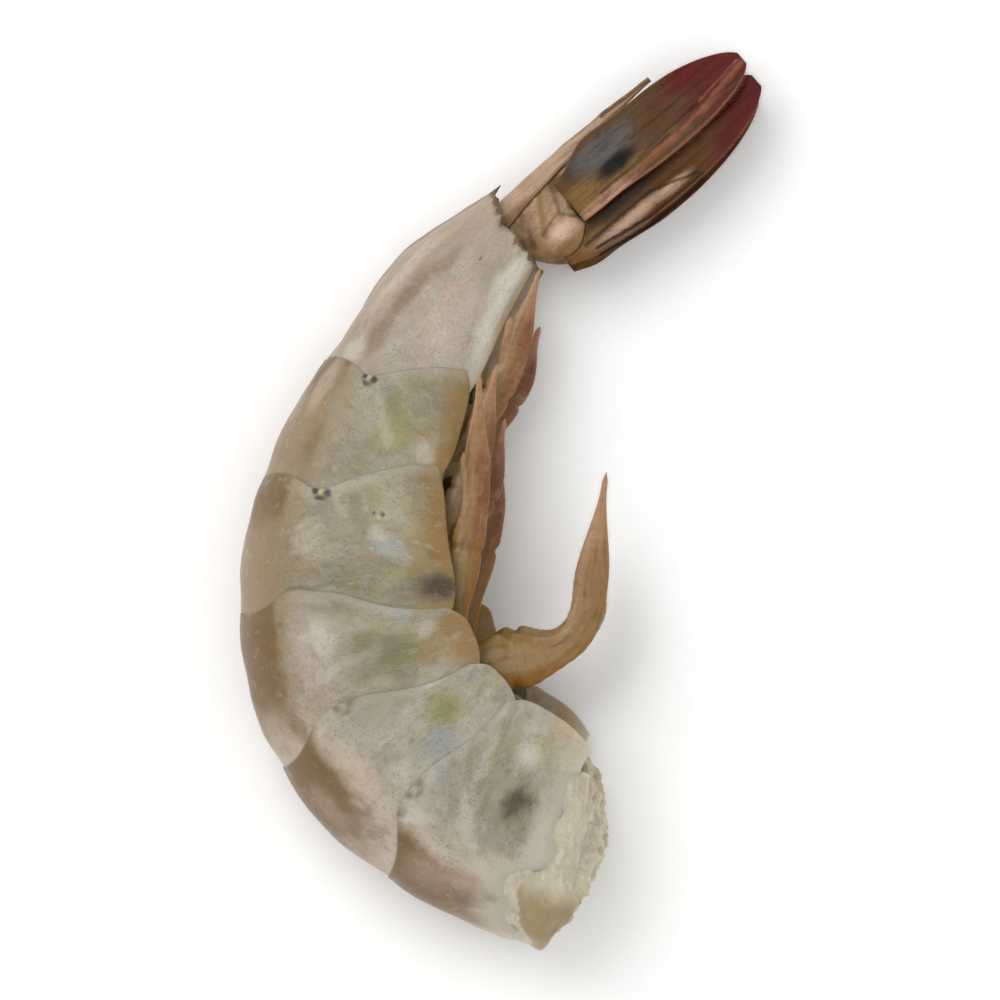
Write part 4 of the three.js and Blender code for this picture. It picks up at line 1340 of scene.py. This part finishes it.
def blade_mesh(name, blade, side):
    fan = settings("shrimp_fan")
    u, v = grid(FAN_ROWS, FAN_COLUMNS)
    u = 1 - (1 - u) ** 1.35
    across = 2 * v - 1
    t, back = blade_shape(blade, side, u, across)
    uneven = 0.05 * waves(vectors(t, back, side), 3.4, 70 + blade["kind"])
    relief = (fan.rib / MM * blade_ribs(blade, t, back, across) + uneven) * (1 - u ** 8)
    out = roof(back, t) - blade["sunk"] + relief
    thick = mix(0.3, 0.12, u) * np.sqrt(np.clip(1 - across ** 2, 0.1, 1))
    outer = in_frame(FAN, t, back, side * out)
    inner = in_frame(FAN, t, back, side * (out - relief * 0.6 - thick))
    return plate_mesh(name, outer, inner, leaf_fields(t, back, blade["kind"], u, across))


def painted_leaf(tree, base, leaf, fan):
    """The fan's stains and strokes, with ragged borders."""
    forward, up = RAGGED_STRETCH
    coarse = ragged(tree, stretched(tree, leaf, forward, up, 1), 1.2, 0.8)
    coarse = stretched(tree, coarse, 1 / forward, 1 / up, 1)
    fine = ragged(tree, leaf, 0.8, 0.3)
    for places, narrow in ((coarse, False), (fine, True)):
        base = stained(tree, base, places, fan, [
            ((t, back, PATTERN_STEP * kind), (reach, half, 1.0), paint, strength)
            for kind, t, back, reach, half, paint, strength in FAN_STAINS if (half < 1) == narrow])
    return stroked(tree, base, fine, fan, [
        ((*first, PATTERN_STEP * kind), (*second, PATTERN_STEP * kind), half, paint, strength)
        for kind, first, second, half, paint, strength in FAN_STROKES])


def telson_material():
    """The surface of the fan's middle piece and of its stalks."""
    fan = settings("shrimp_fan")
    tree = new_material("Tail shell")
    leaf = field(tree, "leaf", "Vector")
    _, across, kind = axis_parts(tree, field(tree, "share", "Vector"))
    stalk = rising(tree, kind, 2.4, 2.6)
    golden = math(tree, "MULTIPLY_ADD", clouds(tree, leaf, 1.3, 0.46, 0.1), 0.4, 0.2)
    base = layered(
        tree, fan.beige,
        (fan.pale, clouds(tree, leaf, 2.4, 0.5, 0.2), 0.6),
        (fan.gold, stalk, golden),
    )
    edge = rising(tree, math(tree, "ABSOLUTE", across), 0.9, 0.98)
    streak = noise(tree, stretched(tree, leaf, 0.3, 2.0, 1), 1.0, 4.0, 0.6)
    base = layered(
        tree, painted_leaf(tree, base, leaf, fan),
        (fan.dark, edge, math(tree, "SUBTRACT", 1.0, stalk), 0.6),
        (fan.brown, rising(tree, streak, 0.5, 0.68), 0.3),
        (fan.line, dots(tree, leaf, 0.26, 0.6, 0.42), 0.25),
    )
    gloss = between(tree, streak, 0.3, 0.46)
    return wet_material("Tail shell", base, gloss, wrinkles(tree, leaf, 0.5), 0.5, 0.25, coat=0.1, shine=0.25,
                        depth=0.8)


def blade_material():
    fan = settings("shrimp_fan")
    tree = new_material("Tail blade")
    leaf = field(tree, "leaf", "Vector")
    u, across, kind = axis_parts(tree, field(tree, "share", "Vector"))
    reddish = pushed(tree, u, unevenness(tree, leaf, 0.5), 0.3)
    rays = noise(tree, stretched(tree, leaf, 0.1, 2.6, 1), 1.0, 4.0, 0.65)
    base = layered(
        tree, coloured(tree, kind, fan.brown, fan.dark),
        (fan.red, rising(tree, reddish, 0.55, 0.85), 0.8),
        (fan.beige, rising(tree, rays, 0.54, 0.74), 0.25),
    )
    mottled = clouds(tree, stretched(tree, leaf, 0.6, 1.3, 1), 1.2, 0.58, 0.1)
    border = rising(tree, math(tree, "ABSOLUTE", across), 0.95, 0.995)
    base = layered(
        tree, painted_leaf(tree, base, leaf, fan),
        (fan.line, falling(tree, rays, 0.32, 0.46), 0.45),
        (fan.line, mottled, 0.35),
        (fan.rose, falling(tree, across, -0.97, -0.86), math(tree, "SUBTRACT", 1.0, kind), 0.5),
        (fan.rose, border, 0.35),
        (fan.line, dots(tree, leaf, 0.26, 0.5, 0.42), 0.3),
    )
    height = math(tree, "ADD", wrinkles(tree, leaf, 0.5), product(tree, rays, 1.5))
    gloss = between(tree, rays, 0.26, 0.42)
    return wet_material("Tail blade", base, gloss, height, 0.55, 0.1, coat=0.03, shine=0.08, depth=0.5)


# Limbs

def named_vector(tree, name):
    return add(tree, "GeometryNodeInputNamedAttribute", {"Name": name}, data_type="FLOAT_VECTOR").outputs[0]


def close_geometry(tree, geometry, material):
    """Ends a geometry tree with real geometry of one material."""
    real = add(tree, "GeometryNodeRealizeInstances", {0: geometry}).outputs[0]
    painted = add(tree, "GeometryNodeSetMaterial", {"Geometry": real, "Material": material})
    return close_group(tree, painted.outputs[0])


def sweep_tree():
    """Carries a round outline along a line and squeezes it to each point's own two half axes."""
    inputs = {"Line": "Geometry", "Sides": "Int", "Material": "Material"}
    tree, (line, sides, material) = new_group("Limb sweep", "GeometryNodeTree", inputs, ("Mesh", "Geometry"))
    place = add(tree, "GeometryNodeInputPosition").outputs[0]

    def stored(geometry, name):
        values = {"Geometry": geometry, "Name": name, "Value": place}
        return add(tree, "GeometryNodeStoreNamedAttribute", values, data_type="FLOAT_VECTOR",
                   domain="POINT").outputs[0]

    path = add(tree, "GeometryNodeMeshToCurve", {"Mesh": stored(line, "middle")}).outputs[0]
    circle = add(tree, "GeometryNodeCurvePrimitiveCircle", {"Resolution": sides, "Radius": 1.0}).outputs[0]
    values = {"Curve": path, "Profile Curve": stored(circle, "round"), "Fill Caps": True}
    tube = add(tree, "GeometryNodeCurveToMesh", values).outputs[0]
    parts = axis_parts(tree, named_vector(tree, "round"))
    wide, thin = (vector_math(tree, "SCALE", named_vector(tree, axis), parts[i])
                  for i, axis in enumerate(("wide", "thin")))
    target = vector_math(tree, "ADD", named_vector(tree, "middle"), vector_math(tree, "ADD", wide, thin))
    moved = add(tree, "GeometryNodeSetPosition", {"Geometry": tube, "Position": target}).outputs[0]
    return close_geometry(tree, moved, material)


def bristle_tree():
    """Stands one thin tapering bristle on each point, along the point's own direction."""
    inputs = {"Points": "Geometry", "Length": "Float", "Radius": "Float", "Seed": "Int",
              "Material": "Material"}
    tree, (points, long, radius, seed, material) = new_group(
        "Bristles", "GeometryNodeTree", inputs, ("Mesh", "Geometry"))
    cone = add(tree, "GeometryNodeMeshCone", {
        "Vertices": 5, "Side Segments": 2, "Radius Bottom": radius, "Radius Top": 0.0, "Depth": long})
    size = add(tree, "GeometryNodeInputNamedAttribute", {"Name": "size"}, data_type="FLOAT").outputs[0]
    turn = add(tree, "FunctionNodeAlignRotationToVector", {"Vector": named_vector(tree, "lean")}, axis="Z")
    draw = add(tree, "FunctionNodeRandomValue", {"Min": 0.6, "Max": 1.15, "Seed": seed}, data_type="FLOAT")
    drawn = [output for output in draw.outputs if output.enabled][0]
    scale = add(tree, "ShaderNodeCombineXYZ", {0: 1.0, 1: 1.0, 2: product(tree, drawn, size)}).outputs[0]
    values = {"Points": points, "Instance": cone.outputs[0], "Rotation": turn.outputs[0], "Scale": scale}
    return close_geometry(tree, add(tree, "GeometryNodeInstanceOnPoints", values).outputs[0], material)


def line_mesh(name, path):
    """A line of points that carries its two half axes, for the sweep."""
    edges = [(i, i + 1) for i in range(len(path["middle"]) - 1)]
    return new_mesh(name, path["middle"], edges, fields={axis: path[axis] * MM for axis in ("wide", "thin")})


def smooth_through(values, count):
    """Values at evenly spaced places of a smooth curve through a few given ones."""
    values = np.asarray(values, float)
    spots = np.linspace(0, len(values) - 1, count)
    i = np.clip(spots.astype(int), 0, len(values) - 2)
    t = (spots - i)[:, None]
    slopes = np.gradient(values, axis=0)
    return ((1 + 2 * t) * (1 - t) ** 2 * values[i] + t * (1 - t) ** 2 * slopes[i]
            + t * t * (3 - 2 * t) * values[i + 1] + t * t * (t - 1) * slopes[i + 1])


LIMB_RINGS = 110
# Fine folds across a limb
LIMB_FOLDS = 26
FIRST_PAIR_FOLDS = 16
# How far a limb's last point lies past its end, and its half widths at both ends, as shares
TIP_REACH = 0.3
ROOT_SHARE = 0.8
TIP_SHARE = 0.12
# How far each of a limb's two blades starts inside the body or the other blade, and the short one's rise
BLADE_LEADS = (1.4, 0.3)
SHORT_BLADE_RISE = -0.5
# Where the short blade begins in its limb's pattern
SHORT_BLADE_FROM = 0.45
# Where the flat part of the short blade and the bristles on it begin, and where all bristles end
SHORT_FLAT_START = 0.1
SHORT_BRISTLES_START = 0.3
BRISTLES_BEHIND_STALK = 0.1
BRISTLES_END = 0.99


def limb_path(place, heading, lean_at, long, width_at, rise, count, lead):
    """A flat tapering limb's middle line, its directions across, half widths and shares of its length."""
    angles = heading + np.array([lean_at(q) for q in np.arange(count) / (count - 1)])
    steps = vectors(cos(angles), sin(angles), rise / long) * (long / (count - 1))
    spine = np.concatenate([[place], place + np.cumsum(steps, 0)])
    reach = spine[count - 1] + (spine[count] - spine[count - 1]) * TIP_REACH
    middle = smooth_through(spine[:count], LIMB_RINGS)
    normals = smooth_through(vectors(-sin(angles), cos(angles), 0), LIMB_RINGS)
    normals /= np.linalg.norm(normals, axis=1, keepdims=True)
    q = np.linspace(0, 1, LIMB_RINGS)
    half = np.array([width_at(x) for x in q]) / 2
    start = middle[0] - (middle[1] - middle[0]) / np.linalg.norm(middle[1] - middle[0]) * lead
    middle = np.concatenate([[start], middle, [reach]])
    normals = np.concatenate([normals[:1], normals, normals[-1:]])
    half = np.concatenate([[half[0] * ROOT_SHARE], half, [half[-1] * TIP_SHARE]])
    return middle, normals, half, np.concatenate([[0], q, [1]])


def swimmeret_paths(kind, side):
    """The long blade with its stalk, and the short blade that leaves it at the knee."""
    left = side > 0
    small = 1 if left else RIGHT_LIMB_SCALE
    rise = kind["rises"][0 if left else 1]
    depth = along(BELLY_DEPTHS, kind["root"]) * FLESH_BELLY + kind["sunk"]
    root = in_frame(section(kind["root"]), 0, -depth, side * kind["aside"])
    heading = along(HEADINGS, kind["root"]) + (0 if left else RIGHT_LIMB_LEAN * kind["apart"])
    knee_share, lean, long = kind["stalk"], kind["lean"], kind["length"] * small

    def lean_at(far):
        if far < knee_share:
            return mix(lean[0], lean[1], ramp(far, 0, knee_share))
        return mix(lean[1], lean[2], ramp(far, knee_share, LONG_BLADE_TURNED))

    def width_at(far):
        knee = 1 - 0.16 * bell(far, knee_share, 0.018)
        if far < knee_share:
            return kind["width"] * mix(0.55, 1, ramp(far, 0, knee_share * 0.8)) * knee
        full = mix(kind["width"], kind["blade"], ramp(far, knee_share, knee_share + 0.2))
        return mix(full, 0.5, ramp(far / small, LONG_BLADE_TAPER_START, 1)) * knee

    def short_lean_at(q):
        return lean_at(knee_share + q * kind["short"]) + SHORT_BLADE_LEAN * kind["apart"]

    angles = heading + np.array([lean_at(i / KNEE_STEPS * knee_share) for i in range(KNEE_STEPS)])
    step = kind["length"] * knee_share / KNEE_STEPS
    knee = root + (vectors(cos(angles), sin(angles), rise / long) * step).sum(0)
    knee[2] -= SHORT_BLADE_DROP
    return (
        limb_path(root, heading, lambda q: lean_at(q * small), long, lambda q: width_at(q * small), rise,
                  LONG_BLADE_RINGS, BLADE_LEADS[0]),
        limb_path(knee, heading, short_lean_at, kind["length"] * kind["short"],
                  lambda q: kind["blade"] * mix(0.75, 0.3, q), SHORT_BLADE_RISE, SHORT_BLADE_RINGS,
                  BLADE_LEADS[1]),
    )


def with_axes(path, flat_from, number):
    """Adds the two half axes: flat blades with fine rings across, thicker stalks."""
    middle, normals, half, q = path
    blade = ramp(q, flat_from, flat_from + 0.08)
    rings = np.sin(q * 2 * np.pi * LIMB_FOLDS + number) * blade
    thin = np.maximum(half * LIMB_FLATNESS * mix(1.25, 0.95, blade), LIMB_HALF_THICKNESS * 0.8)
    thin = np.minimum(thin * (1 + 0.03 * rings), half + 0.02)
    wide = normals * (half * (1 + 0.012 * rings))[:, None]
    return {"middle": middle, "wide": wide, "thin": vectors(0, 0, thin), "q": q, "half": half,
            "normals": normals}


def paint_limb(mesh, paths, number):
    """Gives each point its share along the limb, its place across it, and the limb's number."""
    points = np.empty(len(mesh.vertices) * 3)
    mesh.vertices.foreach_get("co", points)
    points = points.reshape(-1, 3) / MM - SHIFT
    best = np.full(len(points), np.inf)
    values = np.zeros((len(points), 3))
    for second, path in enumerate(paths):
        gaps = np.linalg.norm(points[:, None] - path["middle"][None], axis=2)
        near = gaps.argmin(1)
        half = np.maximum(path["half"][near], 0.1)
        across = ((points - path["middle"][near]) * path["normals"][near]).sum(1) / half
        share = gaps[np.arange(len(points)), near] / half
        far = SHORT_BLADE_FROM + (1 - SHORT_BLADE_FROM) * path["q"][near] if second else path["q"][near]
        taken = share < best
        best = np.where(taken, share, best)
        values[taken] = vectors(far, np.clip(across, -1, 1), number + 0.3 * second)[taken]
    store(mesh, "limb", values)


def sweep(name, path, tree, material):
    values = {"Sides": settings("shrimp_limbs").sides, "Material": material}
    mesh = run_tree(line_mesh(name, path), tree, values)
    close_up(mesh)
    return mesh


def first_pair_path(side):
    """The first pair lies folded back along the belly, between the plates' lower margins."""
    q = np.linspace(0, 1, LIMB_RINGS)
    s = mix(FIRST_PAIR["from"], FIRST_PAIR["to"], q)
    taper = np.minimum(1, 0.6 + 2 * q) * mix(1, 0.3, ramp(q, 0.3, 1))
    s = np.concatenate([[s[0] - 0.4], s, [s[-1] + 0.4]])
    q = np.concatenate([[0], q, [1]])
    taper = np.concatenate([[0.2], taper, [0.06]])
    place = section(s)
    depth = along(BELLY_DEPTHS, s) * FLESH_BELLY + FIRST_PAIR["gap"] + FIRST_PAIR["thickness"] / 2
    ripple = 1 + 0.05 * np.sin(q * 2 * np.pi * FIRST_PAIR_FOLDS) * ramp(q, 0.2, 0.4)
    return {
        "middle": in_frame(place, 0, -depth, side * FIRST_PAIR["aside"]), "q": q,
        "wide": place["left"] * (side * FIRST_PAIR["width"] / 2 * taper * ripple)[:, None],
        "thin": place["back"] * (FIRST_PAIR["thickness"] / 2 * taper)[:, None],
        "half": FIRST_PAIR["width"] / 2 * taper, "normals": place["left"] * side,
    }


def limb_material():
    limb = settings("shrimp_limbs")
    tree = new_material("Limb")
    place = object_places(tree)
    parts = field(tree, "limb", "Vector")
    q, across, number = axis_parts(tree, parts)
    wobble = unevenness(tree, place, 0.5)
    far = pushed(tree, q, wobble, 0.5)
    side = pushed(tree, across, wobble, 1.4)

    # Golden stalks with a greyish film along the middle and an amber fold below, tan blades.
    # Those of the third to fifth pair are rusty in the middle, all tips and edges are pink
    behind = rising(tree, number, 2.5, 2.9)
    brown = clouds(tree, place, 2.0, 0.56, 0.12)
    grain = noise(tree, stretched(tree, parts, 5.0, 2.2, 3.0), 1.0, 4.0, 0.6)
    rings = math(tree, "SINE", product(tree, q, 2 * np.pi * LIMB_FOLDS))
    base = layered(
        tree, coloured(tree, rising(tree, far, 0.2, 0.5), limb.gold, limb.tan),
        (limb.beige, stripe(tree, side, 0.15, 0.25, 0.45), falling(tree, far, 0.25, 0.5), 0.5),
        (limb.amber, falling(tree, side, -0.75, -0.3), falling(tree, far, 0.2, 0.5), 0.8),
        (limb.rust, falling(tree, side, -0.4, 0.3), rising(tree, far, 0.2, 0.5), behind, 0.85),
        (limb.tip, rising(tree, side, 0.45, 0.95), rising(tree, far, 0.25, 0.5), 0.4),
        (limb.tip, rising(tree, far, 0.6, 1.0), 0.65),
        (limb.gold, brown, 0.4),
        (limb.beige, clouds(tree, stretched(tree, place, 1.2, 0.8, 1), 1.4, 0.6, 0.1), 0.35),
        (limb.beige, rising(tree, grain, 0.52, 0.7), 0.5),
        (limb.dark, falling(tree, grain, 0.3, 0.47), 0.5),
        (limb.dark, rising(tree, rings, 0.4, 1.0), 0.07),
        (limb.dark, dots(tree, place, 0.28, 0.5, 0.4), 0.2),
    )
    height = math(tree, "ADD", wrinkles(tree, place, 0.6), product(tree, rings, 0.15))
    gloss = between(tree, brown, 0.3, 0.44)
    return wet_material("Limb", base, gloss, height, 0.45, 0.35, coat=0.08, shine=0.2, depth=1.0)


def bristle_material():
    limb = settings("shrimp_limbs")
    tree = new_material("Bristle")
    patch = noise(tree, object_places(tree), 0.6)
    base = coloured(tree, rising(tree, patch, 0.35, 0.65), limb.tip, limb.tan)
    return wet_material("Bristle", base, between(tree, patch, 0.35, 0.55), patch, 0.1, 0.3, depth=0.3)


def place_bristles(name, margin, long, seed):
    """A piece of bristles, one on each point of a margin, given with their directions and sizes."""
    limb = settings("shrimp_limbs")
    points, leans, sizes = margin
    tree = bpy.data.node_groups.get("Bristles") or bristle_tree()
    material = bpy.data.materials.get("Bristle") or bristle_material()
    mesh = new_mesh(name, points, fields={"lean": leans, "size": sizes})
    values = {"Length": long, "Radius": limb.hair_radius, "Seed": seed, "Material": material}
    place_piece(name, run_tree(mesh, tree, values), [])


def run_along(line):
    """The distance along a line of points, at each of them."""
    return np.concatenate([[0], np.cumsum(np.linalg.norm(np.diff(line, axis=0), axis=1))])


def resampled(line, run, places):
    return np.stack([np.interp(places, run, line[:, i]) for i in range(3)], -1)


def margin_points(path, first, spacing):
    """Points on both margins of a swept blade, with the directions and sizes of their bristles."""
    run = run_along(path["middle"])
    places = np.arange(run[-1] * first, run[-1] * BRISTLES_END, spacing)
    tangent = np.gradient(path["middle"], axis=0)
    tangent /= np.maximum(np.linalg.norm(tangent, axis=1, keepdims=True), 1e-9)
    middle, wide, forward = (resampled(line, run, places) for line in (path["middle"], path["wide"], tangent))
    out = wide / np.linalg.norm(wide, axis=1, keepdims=True)
    points = [middle + side * 0.95 * wide for side in (1, -1)]
    leans = [side * out * 0.55 + forward for side in (1, -1)]
    sizes = np.tile(0.35 + 0.65 * ramp(places / run[-1], first, first + 0.3), 2)
    return np.concatenate(points), np.concatenate(leans), sizes


def blade_margin_points(blade, side, spacing):
    """Points round a tail blade's free margin, with the directions and sizes of their bristles."""
    first = blade["fringe_start"]
    samples = 1 - (1 - np.linspace(first, 0.999, 400)) ** 1.6 * (1 - first) ** -0.6
    halves = []
    for across in (0.99, -0.99):
        t, back = blade_shape(blade, side, samples, across)
        halves.append(in_frame(FAN, t, back, side * (roof(back, t) - blade["sunk"] - 0.1)))
    rim = np.concatenate([halves[0], halves[1][::-1]])
    run = run_along(rim)
    places = np.arange(0, run[-1], spacing)
    rim = resampled(rim, run, places)
    leans = np.cross(np.gradient(rim, axis=0), FAN["left"])
    leans /= np.linalg.norm(leans, axis=1, keepdims=True)
    leans *= np.sign(((rim - rim.mean(0)) * leans).sum(1))[:, None]
    sizes = 0.5 + 0.5 * np.sin(np.pi * np.clip(places / run[-1], 0, 1))
    return rim, leans + FAN["tail"] * 0.6, sizes


# Operators

class SHRIMP_OT_meat(bpy.types.Operator):
    """Makes the meat that runs through the shell and swells out of it at the cut"""
    bl_idname = "shrimp.meat"
    bl_label = "Meat"

    def execute(self, context):
        place_piece("meat", meat_mesh(), ["flesh"], meat_material())
        return {"FINISHED"}


class SHRIMP_OT_shell(bpy.types.Operator):
    """Makes the six shell plates, each lapping over the next"""
    bl_idname = "shrimp.shell"
    bl_label = "Shell plates"

    def execute(self, context):
        material = shell_material()
        for k in range(len(SEGMENT_LENGTHS)):
            shell_plate(k, material)
        return {"FINISHED"}


class SHRIMP_OT_fan(bpy.types.Operator):
    """Makes the tail fan: the middle piece, the stalks and the four blades"""
    bl_idname = "shrimp.fan"
    bl_label = "Tail fan"

    def execute(self, context):
        hard, soft = telson_material(), blade_material()
        place_piece("telson_piece", telson_mesh(), ["telson"], hard)
        for name, side in SIDES.items():
            piece = f"fan_stalk_{name}"
            place_piece(piece, stalk_mesh(piece, side), [f"tail_stalk_{name}"], hard)
            for blade in (INNER_BLADE, OUTER_BLADE):
                piece, node = f"fan_{blade['name']}_{name}", f"tail_{blade['name']}_blade_{name}"
                place_piece(piece, blade_mesh(piece, blade, side), [node], soft)
        return {"FINISHED"}


def swimmeret(kind, name, side, tree, skin):
    """One limb of two blades, with its bristles."""
    limb, number = settings("shrimp_limbs"), kind["number"]
    piece = f"limb_{number}_{name}"
    paths = [with_axes(path, flat_from, number)
             for path, flat_from in zip(swimmeret_paths(kind, side), (kind["stalk"], SHORT_FLAT_START))]
    mesh = united(piece, *(sweep(f"limb_{i}", path, tree, skin) for i, path in enumerate(paths)))
    paint_limb(mesh, paths, number)
    place_piece(piece, mesh, [f"swimmeret_{number}_{name}"], skin)
    starts = kind["stalk"] + BRISTLES_BEHIND_STALK, SHORT_BRISTLES_START
    margins = [margin_points(path, first, limb.hair_spacing / MM) for path, first in zip(paths, starts)]
    margin = [np.concatenate(part) for part in zip(*margins)]
    place_bristles(f"bristles_{piece}", margin, limb.hair, limb.seed + number)


class SHRIMP_OT_limbs(bpy.types.Operator):
    """Makes the five pairs of swimmerets with their bristles"""
    bl_idname = "shrimp.limbs"
    bl_label = "Swimmerets"

    def execute(self, context):
        skin, tree = limb_material(), sweep_tree()
        for name, side in SIDES.items():
            path = first_pair_path(side)
            mesh = sweep(f"limb_1_{name}", path, tree, skin)
            paint_limb(mesh, [path], 1)
            place_piece(f"limb_1_{name}", mesh, [f"swimmeret_1_{name}"], skin)
            for kind in SWIMMERETS:
                swimmeret(kind, name, side, tree, skin)
        return {"FINISHED"}


class SHRIMP_OT_fringe(bpy.types.Operator):
    """Stands the bristle fringe round the tail blades' free margins"""
    bl_idname = "shrimp.fringe"
    bl_label = "Blade fringe"

    def execute(self, context):
        limb = settings("shrimp_limbs")
        for name, side in SIDES.items():
            for blade in (INNER_BLADE, OUTER_BLADE):
                margin = blade_margin_points(blade, side, limb.hair_spacing * 0.6 / MM)
                piece = f"fringe_{blade['name']}_{name}"
                place_bristles(piece, margin, limb.hair * 0.8, limb.seed)
        return {"FINISHED"}


# Where the soft light hangs, and the two tones of the floor
LIGHT_PLACE = (-0.28, 0.34, 0.62)
FLOOR_TONES = srgb(246, 246, 245), srgb(250, 250, 249)


class SHRIMP_OT_stage(bpy.types.Operator):
    """Sets the pale floor, the soft light and the camera"""
    bl_idname = "shrimp.stage"
    bl_label = "Stage"

    def execute(self, context):
        stage = settings("shrimp_stage")
        scene = context.scene
        half = stage.floor / 2
        mesh = bpy.data.meshes.new("floor")
        mesh.from_pydata([(-half, -half, 0), (half, -half, 0), (half, half, 0), (-half, half, 0)], [],
                         [(0, 1, 2, 3)])
        in_scene("floor", mesh)
        tree = new_material("Floor")
        grain = noise(tree, add(tree, "ShaderNodeTexCoord").outputs["Object"], 400.0)
        fill(tree, tree.nodes["Principled BSDF"], {
            "Base Color": coloured(tree, grain, *FLOOR_TONES), "Roughness": 0.8})
        mesh.materials.append(bpy.data.materials["Floor"])

        lamp = bpy.data.lights.new("soft_light", "AREA")
        lamp.shape = "SQUARE"
        lamp.size = stage.light_size
        lamp.energy = stage.light_power
        light = in_scene("soft_light", lamp)
        light.location = LIGHT_PLACE
        light.rotation_euler = (-light.location).to_track_quat("-Z", "Y").to_euler()

        scene.world = bpy.data.worlds.new("surround")
        scene.world.use_nodes = True
        fill(scene.world.node_tree, scene.world.node_tree.nodes["Background"], {
            "Color": (1, 1, 1, 1), "Strength": stage.surround})

        camera = bpy.data.cameras.new("view")
        camera.lens = camera.sensor_width * stage.view_height / stage.view_width
        camera.clip_end = 10
        scene.camera = in_scene("view", camera)
        scene.camera.location = (0, 0, stage.view_height)
        scene.view_settings.view_transform = "Standard"
        return {"FINISHED"}


class SHRIMP_PT_panel(bpy.types.Panel):
    """Lists the shrimp's pieces in the sidebar"""
    bl_label = "Shrimp"
    bl_idname = "SHRIMP_PT_panel"
    bl_space_type = "VIEW_3D"
    bl_region_type = "UI"
    bl_category = "Shrimp"

    def draw(self, context):
        for name, kind in SETTINGS.items():
            box = self.layout.box()
            for key in kind.__annotations__:
                box.prop(getattr(context.scene, name), key)
        for operator in OPERATORS:
            self.layout.operator(operator.bl_idname)


SETTINGS = {
    "shrimp_shell": ShellSettings,
    "shrimp_meat": MeatSettings,
    "shrimp_fan": FanSettings,
    "shrimp_limbs": LimbSettings,
    "shrimp_stage": StageSettings,
}
OPERATORS = [SHRIMP_OT_meat, SHRIMP_OT_shell, SHRIMP_OT_fan, SHRIMP_OT_limbs, SHRIMP_OT_fringe,
             SHRIMP_OT_stage]


def register():
    for kind in [*SETTINGS.values(), *OPERATORS, SHRIMP_PT_panel]:
        bpy.utils.register_class(kind)
    for name, kind in SETTINGS.items():
        setattr(bpy.types.Scene, name, PointerProperty(type=kind))


def unregister():
    for name in SETTINGS:
        delattr(bpy.types.Scene, name)
    for kind in [SHRIMP_PT_panel, *OPERATORS, *SETTINGS.values()]:
        bpy.utils.unregister_class(kind)


def main():
    register()
    for operator in OPERATORS:
        area, name = operator.bl_idname.split(".")
        getattr(getattr(bpy.ops, area), name)()


if __name__ == "__main__":
    main()
